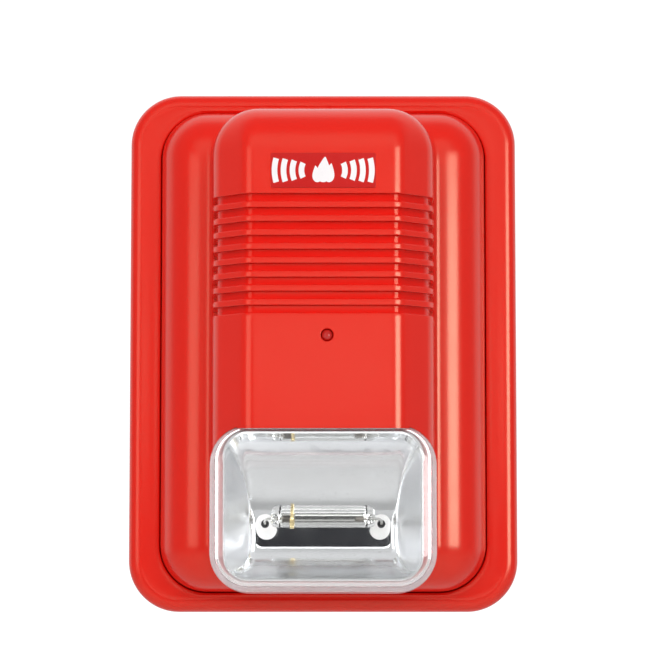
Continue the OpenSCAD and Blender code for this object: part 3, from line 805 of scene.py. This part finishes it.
def build_tube():
    """A glass tube with both ends melted down onto the leads."""
    end = TUBE_X[1]
    outer = [(0.9, -end), (1.5, 0.15 - end), (2.0, 0.6 - end), (2.2, 1.2 - end), (TUBE_R, 2.0 - end)]
    outer += [(TUBE_R, x) for x in (-6.0, 0.0, 6.0)]
    outer += [(r, -h) for r, h in reversed(outer[:5])]
    inner = [(0.4, 2.3 - end), (1.0, 1.9 - end), (1.5, 2.1 - end), (1.75, 2.8 - end)]
    inner += [(1.75, x) for x in (-5.0, 0.0, 5.0)]
    inner += [(r, -h) for r, h in reversed(inner[:4])]
    glass = along_tube("flash_tube_glass", outer)
    hollow = along_tube("hollow", inner)
    return boolean(glass, hollow, "DIFFERENCE")


def build_electrodes():
    """A wound cathode on the left and a plain anode on the right, each on its rod."""
    end = TUBE_X[1]
    cathode = [(0.28, -10.6), (0.28, -9.3), (0.9, -9.25), (1.05, -9.1)]
    for k in range(9):
        cathode += [(1.05, -9.0 + 0.28 * k), (0.88, -8.86 + 0.28 * k)]
    cathode += [(1.0, -6.3), (0.8, -6.15), (0.3, -6.1)]
    anode = [(0.3, 8.3), (0.62, 8.35), (0.72, 8.5), (0.72, 10.4), (0.6, 10.55), (0.3, 10.6)]
    anode.append((0.3, end - 1.7))
    parts = [along_tube("cathode", [(r, h - 1.4) for r, h in cathode], 32)]
    parts.append(along_tube("anode", anode, 32))
    parts.append(along_tube("rod", [(0.25, 1.7 - end), (0.25, -10.5)], 20))
    return join("tube_electrode_pair", parts)


def build_leads():
    """Wires from the tube's ends, bent down and back through the bowl."""
    depth, z = tube_axis()
    end = TUBE_X[1]
    route = [
        (end - 1.6, depth, z),
        (end + 0.2, depth, z),
        (LEAD_X - 0.5, depth - 0.1, z - 0.15),
        (LEAD_X, depth - 0.8, z - 0.7),
        (LEAD_X, depth - 2.4, LEAD_Z + 0.1),
        (LEAD_X, BOWL_DEPTH, LEAD_Z),
        (LEAD_X, 26.0, LEAD_Z),
        (LEAD_X, 16.0, LEAD_Z),
    ]
    parts = []
    for side in (-1, 1):
        parts.append(wire("lead", bend([place(side * x, d, h) for x, d, h in route]), 0.32))
    return join("tube_lead_pair", parts)


def build_grommets():
    """Bushes that carry the leads through the back of the bowl, in black: painted shade for the dark
    inside the lead holes.
    """
    behind = [(0.36, -1.7), (1.7, -1.7), (1.82, -1.6), (1.82, -1.1), (1.7, -0.98), (1.02, -0.95)]
    before = [(1.02, 0.3), (0.92, 0.4), (0.6, 0.4), (0.42, 0.2), (0.36, 0.0)]
    profile = [(r, BOWL_DEPTH + h) for r, h in behind + before]
    parts = []
    for x in (-LEAD_X, LEAD_X):
        parts.append(lathe("grommet", profile, place(x, 0, LEAD_Z), OUTWARDS, 40, True))
    return join("lead_grommet_pair", parts)


def pad_outline(side, grow):
    """A drop shape: the hull of a small round above and a larger one below."""
    points = []
    top = (side * LEAD_X, LEAD_Z, 2.5 + grow)
    low = (side * (LEAD_X - 0.4), LEAD_Z - 1.4, 2.7 + grow)
    for i in range(48):
        t = 2 * math.pi * i / 48
        x, z, r = top if math.sin(t) > 0 else low
        points.append((x + r * math.cos(t), z + r * math.sin(t)))
    return points


def build_pads():
    """Beads of white sealant round the bushes."""
    parts = []
    for side in (-1, 1):
        loops = []
        for grow, rise in ((0.0, 0.02), (0.02, 0.15), (-0.1, 0.34), (-0.4, 0.46), (-0.9, 0.5)):
            loops.append(level(pad_outline(side, grow), BOWL_DEPTH + rise))
        hole = disc(side * LEAD_X, LEAD_Z, 1.07)
        loops += [level(hole, BOWL_DEPTH + 0.5), level(hole, BOWL_DEPTH + 0.02)]
        parts.append(loft("pad", loops, closed=True))
    return join("lead_pad_pair", parts)


def build_trigger():
    """A close winding of thin wire round the tube, and its tail back through the bowl."""
    depth, z = tube_axis()
    points = []
    turns = 3.5
    reach = TUBE_R + 0.16
    count = 126
    for i in range(count + 1):
        t = 2 * math.pi * turns * i / count + math.pi / 2
        points.append(place(-8.5 + 0.9 * i / count, depth + reach * math.sin(t), z + reach * math.cos(t)))
    tail = [points[-1], place(-7.8, depth - 3.1, z), place(-8.0, BOWL_DEPTH + 0.6, z)]
    tail.append(place(-8.0, BOWL_DEPTH + 0.1, z))
    return wire("trigger_winding", points + bend(tail)[1:], 0.16, 10)


# ---------------------------------------------------------------- small front pieces


def build_led():
    """A 3 mm LED with its two pins, one of them ending in a cup."""
    x, z = middle(LED_X), middle(LED_Z)
    foot = 44.2
    r = 1.5
    dome = LED_DEPTH[1] - r
    profile = [(1.75, foot), (1.9, foot + 0.15), (1.9, foot + 0.85), (1.75, foot + 1.0), (r, foot + 1.02)]
    profile.append((r, dome - 1.0))
    profile += [(r * c, dome + r * s) for c, s in sweep(0, 86, 12)]
    lens = lathe("status_led_lens", profile, place(x, 0, z), OUTWARDS, 40)
    pins = []
    for s in (x - 0.64, x + 0.64):
        pins.append(wire("pin", [place(s, depth, z) for depth in (15.8, 30, 46.6)], 0.25, 10))
    cup = [(0.3, 45.4), (0.55, 46.2), (0.85, 46.9), (0.7, 46.9), (0.35, 46.5)]
    pins.append(lathe("cup", cup, place(x + 0.3, 0, z), OUTWARDS, 24))
    return lens, join("status_led_pins", pins)


def build_label():
    """The label's plate, and a pictogram in place of its lettering."""
    s = dict(hx=LABEL_X[1], z0=LABEL_Z[0], z1=LABEL_Z[1], r=0.5)
    front = LABEL_DEPTH[1]
    loops = []
    for inset, below in ((0.0, 0.2), (0.0, 0.1), (0.03, 0.04), (0.1, 0.02)):
        loops.append(level(rounded(shrink(s, inset), 6), front - below))
    return loft("label_film", loops), pictogram(middle(LABEL_Z), front)


def pictogram(mid, front):
    """A flame between two sets of sound waves.  Shapes that overlap don't share a front."""
    low = mid - 3.1
    tongues = ((-1.5, 1.5, 4.3, -0.5), (1.5, 1.6, 4.9, 0.6), (0.0, 2.3, 6.6, 0.5))
    shapes = [tongue(x, low, half, high, lean) for x, half, high, lean in tongues]
    for side in (-1, 1):
        for r, high in ((4.3, 1.9), (6.6, 2.5), (8.9, 2.9), (11.2, 3.1)):
            shapes.append(wave(side * 1.3, mid, side, r, high))
    parts = []
    for k, shape in enumerate(shapes):
        parts.append(prism("mark", shape, front - 0.05, front - 0.004 * (k % 3)))
    return join("label_pictogram", parts)


def wave(x, z, side, r, high):
    """One arc of a sound wave, of a given half height."""
    points = []
    spread = math.degrees(math.asin(high / r))
    half = 0.72
    for ring, end in ((r + half, spread), (r - half, -spread)):
        points += [(x + side * ring * c, z + ring * s) for c, s in sweep(-end, end, 12)]
    return points


def tongue(x, low, half, high, lean):
    """One tongue of a plain flame: a drop with a tip that leans."""
    points = []
    for c, s in sweep(0, 352.5, 47):
        up = (1 - c) / 2
        width = half * s * (1 - 0.75 * up**1.5)
        points.append((x + width + lean * up**2, low + high * up))
    return points


# ---------------------------------------------------------------- materials


class Nodes:
    """A small builder for the nodes of a material or a world."""

    def __init__(self, owner, output):
        owner.use_nodes = True
        self.tree = owner.node_tree
        self.tree.nodes.clear()
        self.out = self.add(output)
        self.where = self.add("ShaderNodeTexCoord").outputs

    def feed(self, socket, value):
        """Links another node's output to a socket, or sets the socket to a constant."""
        if isinstance(value, bpy.types.NodeSocket):
            self.tree.links.new(value, socket)
        else:
            socket.default_value = value

    def put(self, node, named):
        for name, value in named.items():
            self.feed(node.inputs[name.replace("_", " ")], value)

    def add(self, kind, *values, **named):
        """A node: values go to its first sockets, named ones to the sockets of those names."""
        node = self.tree.nodes.new(kind)
        for socket, value in zip(node.inputs, values):
            self.feed(socket, value)
        self.put(node, named)
        return node

    def noise(self, scale, detail=3.0, rough=0.55, stretch=None):
        where = self.where["Object"]
        if stretch:
            where = self.add("ShaderNodeMapping", Vector=where, Scale=stretch).outputs["Vector"]
        node = self.add("ShaderNodeTexNoise", Vector=where, Scale=scale, Detail=detail, Roughness=rough)
        return node.outputs["Fac"]

    def ramp(self, source, *stops):
        node = self.add("ShaderNodeValToRGB", source)
        elements = node.color_ramp.elements
        while len(elements) < len(stops):
            elements.new(0.5)
        for element, (position, colour) in zip(elements, stops):
            element.position = position
            element.color = (*colour, 1.0)
        return node.outputs["Color"]

    def spread(self, source, low, high, start=0.3, end=0.7):
        """Turns start to end into low to high."""
        return self.add("ShaderNodeMapRange", source, start, end, low, high).outputs["Result"]

    def math(self, operation, *values):
        node = self.add("ShaderNodeMath", *values)
        node.operation = operation
        return node.outputs["Value"]

    def mix(self, share, first, second):
        return self.add("ShaderNodeMixShader", share, first, second).outputs["Shader"]

    def show(self, shader):
        self.put(self.out, {"Surface": shader})


class Surface(Nodes):
    """The nodes of a material, which joins MATERIALS under its name."""

    def __init__(self, name):
        self.material = bpy.data.materials.new(name)
        MATERIALS[name] = self.material
        super().__init__(self.material, "ShaderNodeOutputMaterial")
        self.base = self.add("ShaderNodeBsdfPrincipled")
        self.show(self.base.outputs["BSDF"])

    def set(self, **named):
        self.put(self.base, named)

    def bump(self, source, strength, distance):
        node = self.add("ShaderNodeBump", Strength=strength, Distance=distance, Height=source)
        self.set(Normal=node.outputs["Normal"])


def tint(colour, share):
    return tuple(min(c * share, 1.0) for c in colour)


def mottled(name, colour, rough, grain=900.0, contrast=0.06, bump=0.05, spread=0.05, **settings):
    """A moulded or painted surface: slight colour drift, uneven gloss and a fine grain."""
    n = Surface(name)
    drift = n.noise(70.0, 4.0)
    dark, light = tint(colour, 1 - contrast), tint(colour, 1 + contrast)
    n.set(Base_Color=n.ramp(drift, (0.3, dark), (0.7, light)))
    n.set(Roughness=n.spread(drift, rough - spread, rough + spread))
    n.bump(n.noise(grain), bump, 0.0002)
    n.set(**settings)
    return n.material


def brushed(name, colour, rough):
    """Metal with fine drawn lines and a little tarnish."""
    n = Surface(name)
    lines = n.noise(8.0, 4.0, 0.6, (60, 1200, 60))
    n.set(Base_Color=n.ramp(n.noise(260.0), (0.3, tint(colour, 0.82)), (0.65, tint(colour, 1.04))))
    n.set(Roughness=n.spread(lines, rough * 0.7, rough * 1.35), Metallic=1.0)
    n.bump(lines, 0.08, 0.0001)


def red_plastic(name, rough, level, grain_height):
    """Glossy red moulding, with a fine grain and faint flow marks."""
    n = Surface(name)
    stops = (0.3, (0.785, 0.0062, 0.0030)), (0.7, (0.80, 0.0068, 0.0032))
    n.set(Base_Color=n.ramp(n.noise(28.0, 5.0), *stops))
    n.set(Roughness=n.spread(n.noise(160.0, 4.0), rough - 0.012, rough + 0.015))
    n.bump(n.noise(1800.0), grain_height, 0.00012)
    n.set(IOR=1.5, Specular_IOR_Level=level, Specular_Tint=(1.0, 0.94, 0.66, 1.0))
    return n.material


def clear_plastic(name, ior, wave_scale, wave_strength, colour=(1.0, 1.0, 1.0)):
    """Clear moulding.  Shadow rays go straight through it, so that what is inside is lit."""
    n = Surface(name)
    flow = n.noise(wave_scale, 2.0)
    n.set(Roughness=n.spread(n.noise(420.0), 0.0, 0.02))
    n.set(Base_Color=n.ramp(flow, (0.3, tint(colour, 0.985)), (0.7, colour)))
    n.bump(flow, wave_strength, 0.0003)
    n.set(IOR=ior, Transmission_Weight=1.0)
    shadow = n.add("ShaderNodeLightPath").outputs["Is Shadow Ray"]
    open_way = n.add("ShaderNodeBsdfTransparent").outputs["BSDF"]
    clear = n.mix(shadow, n.base.outputs["BSDF"], open_way)
    n.show(clear)
    return n, clear


def clear_lens():
    """Clear moulding with a pinkish white on its foot and, lighter, on the sides of its skirt: a painted
    highlight for the bright band the clear wall carries.
    """
    n, clear = clear_plastic("lens_clear", 1.56, 120.0, 0.05)
    # foot and side: where the painted edge highlight goes, on the foot and on the skirt's side walls.
    foot = painted_edge_light(n, "Object", (LENS_DEPTH[0] + 1.6) * MM, (LENS_DEPTH[0] + 0.6) * MM, 0.9)
    side = painted_edge_light(n, "Normal", 0.40, 0.10, 0.36)
    # The painted edge highlight: pinkish white, half diffuse and half translucent.
    colour = (1.0, 0.88, 0.90, 1.0)
    kinds = ("ShaderNodeBsdfDiffuse", "ShaderNodeBsdfTranslucent")
    white = n.mix(0.5, *[n.add(kind, Color=colour).outputs["BSDF"] for kind in kinds])
    n.show(n.mix(n.math("MAXIMUM", foot, side), clear, white))


def painted_edge_light(n, output, low, high, amount):
    """How much painted edge highlight the surface gets, from the depth part of a vector."""
    parts = n.add("ShaderNodeSeparateXYZ", n.where[output]).outputs
    return n.spread(n.math("ABSOLUTE", parts["Y"]), 0.0, amount, low, high)


def chrome():
    """Vacuum-metallised plastic: a mirror with faint ripples, haze and specks.

    It is satin at its sides and floor."""
    n = Surface("reflector_metallised")
    stops = (0.26, (0.42, 0.42, 0.42)), (0.31, (0.86, 0.875, 0.89))
    n.set(Base_Color=n.ramp(n.noise(2600.0, 2.0), *stops))
    facing = n.add("ShaderNodeSeparateXYZ", n.where["Normal"]).outputs
    tilt = n.math("MAXIMUM", n.math("ABSOLUTE", facing["X"]), facing["Z"])
    haze = n.spread(n.noise(300.0, 4.0), 0.035, 0.085)
    satin = n.spread(tilt, 0.0, 0.25, 0.3, 0.8)
    n.set(Roughness=n.math("ADD", haze, satin), Metallic=1.0)
    n.bump(n.noise(90.0), 0.05, 0.0004)


def board():
    """Green solder mask with copper tracks showing through."""
    n = Surface("board_green")
    weave = n.noise(500.0, 2.0, 0.5, (1.0, 1.0, 4.0))
    n.set(Base_Color=n.ramp(weave, (0.42, (0.016, 0.13, 0.045)), (0.5, (0.03, 0.22, 0.075))))
    n.set(Roughness=n.spread(n.noise(200.0), 0.25, 0.42))
    n.bump(weave, 0.1, 0.0001)


def striped(name, dark, light, scale, direction):
    """A winding or ribbed sleeve: fine bands across an axis."""
    n = Surface(name)
    bands = n.add("ShaderNodeTexWave", n.where["Object"], Scale=scale, Distortion=0.6)
    bands.bands_direction = direction
    n.set(Base_Color=n.ramp(bands.outputs["Fac"], (0.2, dark), (0.7, light)))
    n.set(Roughness=n.spread(n.noise(300.0), 0.3, 0.45))
    n.bump(bands.outputs["Fac"], 0.3, 0.0001)


MATERIALS = {}

red_plastic("housing_red", 0.22, 0.60, 0.07)
clear_lens()
clear_plastic("tube_glass", 1.49, 200.0, 0.04, (1.0, 1.0, 0.985))
chrome()
brushed("electrode_metal", (0.32, 0.30, 0.27), 0.42)
brushed("steel_plated", (0.66, 0.66, 0.64), 0.28)
brushed("brass", (0.84, 0.70, 0.40), 0.3)
# The grommets' black is painted shade for the dark inside the lead holes.
mottled("grommet_rubber", (0.03, 0.03, 0.032), 0.55)
mottled("sealant_white", (0.90, 0.90, 0.89), 0.35, 1100.0, 0.03)
mottled("led_red", (0.72, 0.02, 0.015), 0.12, 900.0, 0.08, Transmission_Weight=0.3)
mottled("plastic_white", (0.86, 0.86, 0.84), 0.4)
mottled("label_dark_red", (0.57, 0.006, 0.004), 0.3, 1400.0, 0.05, 0.04, Specular_IOR_Level=0.2)
mottled("label_white", (0.90, 0.86, 0.87), 0.38, 1500.0, 0.02, 0.04)
mottled("sleeve_navy", (0.02, 0.04, 0.17), 0.28)
mottled("ferrite", (0.05, 0.05, 0.054), 0.5, 1600.0, 0.15, 0.2)
mottled("tape_yellow", (0.80, 0.58, 0.08), 0.3)
mottled("film_orange", (0.72, 0.22, 0.04), 0.3)
mottled("component_black", (0.028, 0.028, 0.03), 0.48, 2200.0, 0.1, 0.15)
mottled("plastic_black", (0.022, 0.022, 0.023), 0.45)
mottled("piezo_white", (0.78, 0.78, 0.75), 0.4, 1200.0, 0.05, 0.1)
mottled("wire_red", (0.65, 0.025, 0.02), 0.4)
mottled("switch_red", (0.58, 0.025, 0.02), 0.38)
mottled("trimmer_blue", (0.025, 0.10, 0.50), 0.35)
mottled("block_green", (0.03, 0.29, 0.09), 0.42)
mottled("plastic_ivory", (0.80, 0.75, 0.60), 0.45)
striped("winding_copper", (0.30, 0.10, 0.03), (0.75, 0.32, 0.12), 900.0, "Y")
striped("resistor_tan", (0.30, 0.16, 0.07), (0.66, 0.48, 0.28), 400.0, "X")
board()


def paint(obj, slot_name):
    obj.data.materials.clear()
    obj.data.materials.append(MATERIALS[slot_name])


def piece(obj, slot_name, body, *stands_for, angle=32.0, weighted=True):
    """Finishes a piece: its material, the body it rides on and the CAD node it stands for."""
    shade(obj, angle, weighted)
    paint(obj, slot_name)
    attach(obj, body)
    if stands_for:
        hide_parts(*stands_for)
    return obj


def mark_outer_skin(obj):
    """Only the inside of the bowl is metallised; its outer skin is bare red plastic."""
    obj.data.materials.append(red_plastic("reflector_skin_red", 0.3, 0.5, 0.05))
    for face in obj.data.polygons:
        x, depth, z = face.center.x / MM, from_wall(face.center), face.center.z / MM
        s = bowl_at(max(depth, BOWL_DEPTH), 0.6)
        if abs(x) > s["hx"] or z > s["z1"] or z < s["z0"] or depth < BOWL_DEPTH - 0.4:
            face.material_index = 1


def mark_groove_floors(obj):
    """The groove floors are glossier, from a polished part of the mould, and reflect more weakly: the
    weaker reflection is painted shade in the grooves.
    """
    # Specular level 0.25 against the housing's 0.60: painted shade on the groove floors.
    obj.data.materials.append(red_plastic("housing_red_polished_shaded", 0.12, 0.25, 0.03))
    for face in obj.data.polygons:
        x, depth, z = face.center.x / MM, from_wall(face.center), face.center.z / MM
        in_groove = min(abs(z - centre) for centre in GROOVE_Z) <= GROOVE_HALF + 0.02
        on_tower = depth >= GROOVE_FOOT and abs(x) <= TOWER_W / 2
        if in_groove and on_tower and face_sunk(x, depth):
            face.material_index = 1


def face_sunk(x, depth):
    """Whether a point of the tower lies below its ungrooved surface, and not on the inside."""
    side = TOWER_W / 2 - TOWER_DRAFT - abs(x)
    front = TOWER_DEPTH - depth
    bevel = (side + front - TOWER_R * (1 - BEVEL_SIDE * math.tan(math.radians(22.5)))) / math.sqrt(2)
    return 0.55 < min(side, front, bevel) < 1.6


# ---------------------------------------------------------------- the object

head_cover = piece(build_head(), "housing_red", "head", "front_housing")
mark_groove_floors(head_cover)
piece(build_base(), "housing_red", "back_box", "base_plate")
piece(build_lens(), "lens_clear", "head", "strobe_lens", weighted=False)
bowl = piece(build_reflector(), "reflector_metallised", "head", "reflector", weighted=False)
mark_outer_skin(bowl)
piece(build_tube(), "tube_glass", "head", "flash_tube", angle=50)
piece(build_electrodes(), "electrode_metal", "head", "tube_electrodes")
piece(build_leads(), "steel_plated", "head", "tube_leads", angle=50)
piece(build_grommets(), "grommet_rubber", "head", "lead_grommets", angle=50)
piece(build_pads(), "sealant_white", "head", "lead_pads")
piece(build_trigger(), "brass", "head", "trigger_wire", angle=50)
led, led_pins = build_led()
piece(led, "led_red", "head", "status_led")
piece(led_pins, "steel_plated", "head", angle=50)
label, mark = build_label()
piece(label, "label_dark_red", "head", "label_plate")
piece(mark, "label_white", "head")


def soften(obj, width):
    """Breaks the edges of a CAD node that is shown as it is."""
    weld = obj.modifiers.new("weld", "WELD")
    weld.merge_threshold = 2e-6
    edge = obj.modifiers.new("edge", "BEVEL")
    edge.width = width * MM
    edge.segments = 2
    edge.limit_method = "ANGLE"
    edge.angle_limit = math.radians(40)
    smooth = obj.modifiers.new("normals", "WEIGHTED_NORMAL")
    smooth.keep_sharp = True


def show_cad_nodes():
    """The pieces that have no smooth version are shown as the CAD has them."""
    finish_of = {s["node"]: s["material_slot"] for s in frame["record"]["subparts"]}
    for name, obj in frame["nodes"].items():
        if obj.hide_render:
            continue
        paint(obj, finish_of[name])
        soften(obj, 0.12)


show_cad_nodes()

# ---------------------------------------------------------------- stage


def white_world(seen_level):
    """White where the camera looks past the object; as light, a pale room, darker at its sides."""
    world = bpy.data.worlds.new("studio")
    bpy.context.scene.world = world
    n = Nodes(world, "ShaderNodeOutputWorld")
    seen = n.add("ShaderNodeBackground", (1.0, 1.0, 1.0, 1.0), seen_level)
    parts = n.add("ShaderNodeSeparateXYZ", n.where["Generated"]).outputs
    along = n.spread(parts["Y"], 0.0, 1.0, -1.0, 1.0)
    levels = ((0.0, 0.30), (0.10, 0.38), (0.54, 0.40), (0.64, 1.0))
    room = n.ramp(along, *[(position, (level, level, level)) for position, level in levels])
    path = n.add("ShaderNodeLightPath").outputs
    strength = n.spread(path["Is Transmission Ray"], 1.0, 2.3, 0.0, 1.0)
    fill = n.add("ShaderNodeBackground", room, strength)
    n.show(n.mix(path["Is Camera Ray"], fill.outputs["Background"], seen.outputs["Background"]))


def softbox(name, position, target, size, radiance, kind):
    """A rectangular light facing a target: either a panel that shines in the gloss, or the fill."""
    light = bpy.data.lights.new(name, "AREA")
    light.shape = "RECTANGLE"
    light.size, light.size_y = size
    light.energy = radiance * size[0] * size[1] * math.pi
    obj = bpy.data.objects.new(name, light)
    bpy.context.scene.collection.objects.link(obj)
    obj.location = position
    obj.rotation_mode = "QUATERNION"
    obj.rotation_quaternion = (Vector(target) - Vector(position)).to_track_quat("-Z", "Y")
    obj.visible_camera = False
    obj.visible_diffuse = kind == "fill"
    obj.visible_glossy = kind == "gloss"
    obj.visible_transmission = kind == "gloss"


def stage_plane(name, size, position, turn, material):
    x, y = size[0] / 2, size[1] / 2
    points = [(-x, -y, 0), (x, -y, 0), (x, y, 0), (-x, y, 0)]
    obj = new_object(name, points, [(0, 1, 2, 3)])
    obj.location = position
    obj.rotation_euler = turn
    obj.data.materials.append(material)
    return obj


# In metres, as the stage is.
CAMERA_DISTANCE = 0.700
CAMERA_DROP = math.radians(4.0)
CAMERA_BACK = CAMERA_DISTANCE * math.cos(CAMERA_DROP)
CAMERA_AT = Vector((0.0, -CAMERA_BACK, -CAMERA_DISTANCE * math.sin(CAMERA_DROP)))
AIM_AT = Vector((0.0005, 0, 0.008))
CARD_Y = -0.76

white_world(1.1)
softbox("front_card", (0, CARD_Y, 0.03), (0, 0, 0.03), (0.16, 0.075), 1.8, "gloss")
softbox("softbox_left", (-0.62, -0.91, 0.04), (0, 0, 0), (0.50, 0.36), 2.1, "gloss")
softbox("softbox_right", (0.62, -0.91, 0.04), (0, 0, 0), (0.52, 0.36), 9.0, "gloss")
softbox("key", (0.0, -0.85, 0.45), (0, 0, 0), (1.1, 0.6), 3.3, "fill")
pale = mottled("floor_pale", (0.86, 0.86, 0.85), 0.6, 40.0, 0.02)
stage_plane("floor", (4, 4), (0, 0, -0.45), (0, 0, 0), pale)
shade_card = stage_plane(
    "camera_shade",
    (0.15, 0.095),
    (0.0, CARD_Y, -0.0525),
    (math.radians(90), 0, 0),
    mottled("shade_dark", (0.012, 0.013, 0.018), 0.6),
)
shade_card.visible_camera = False


def add_camera():
    data = bpy.data.cameras.new("camera")
    obj = bpy.data.objects.new("camera", data)
    bpy.context.scene.collection.objects.link(obj)
    data.sensor_width = 36.0
    data.lens = 140.95
    data.clip_start = 0.01
    data.clip_end = 50
    obj.location = CAMERA_AT
    look = AIM_AT - CAMERA_AT
    obj.rotation_mode = "QUATERNION"
    obj.rotation_quaternion = look.to_track_quat("-Z", "Y")
    bpy.context.scene.camera = obj


add_camera()
bpy.context.scene.view_settings.view_transform = "Standard"
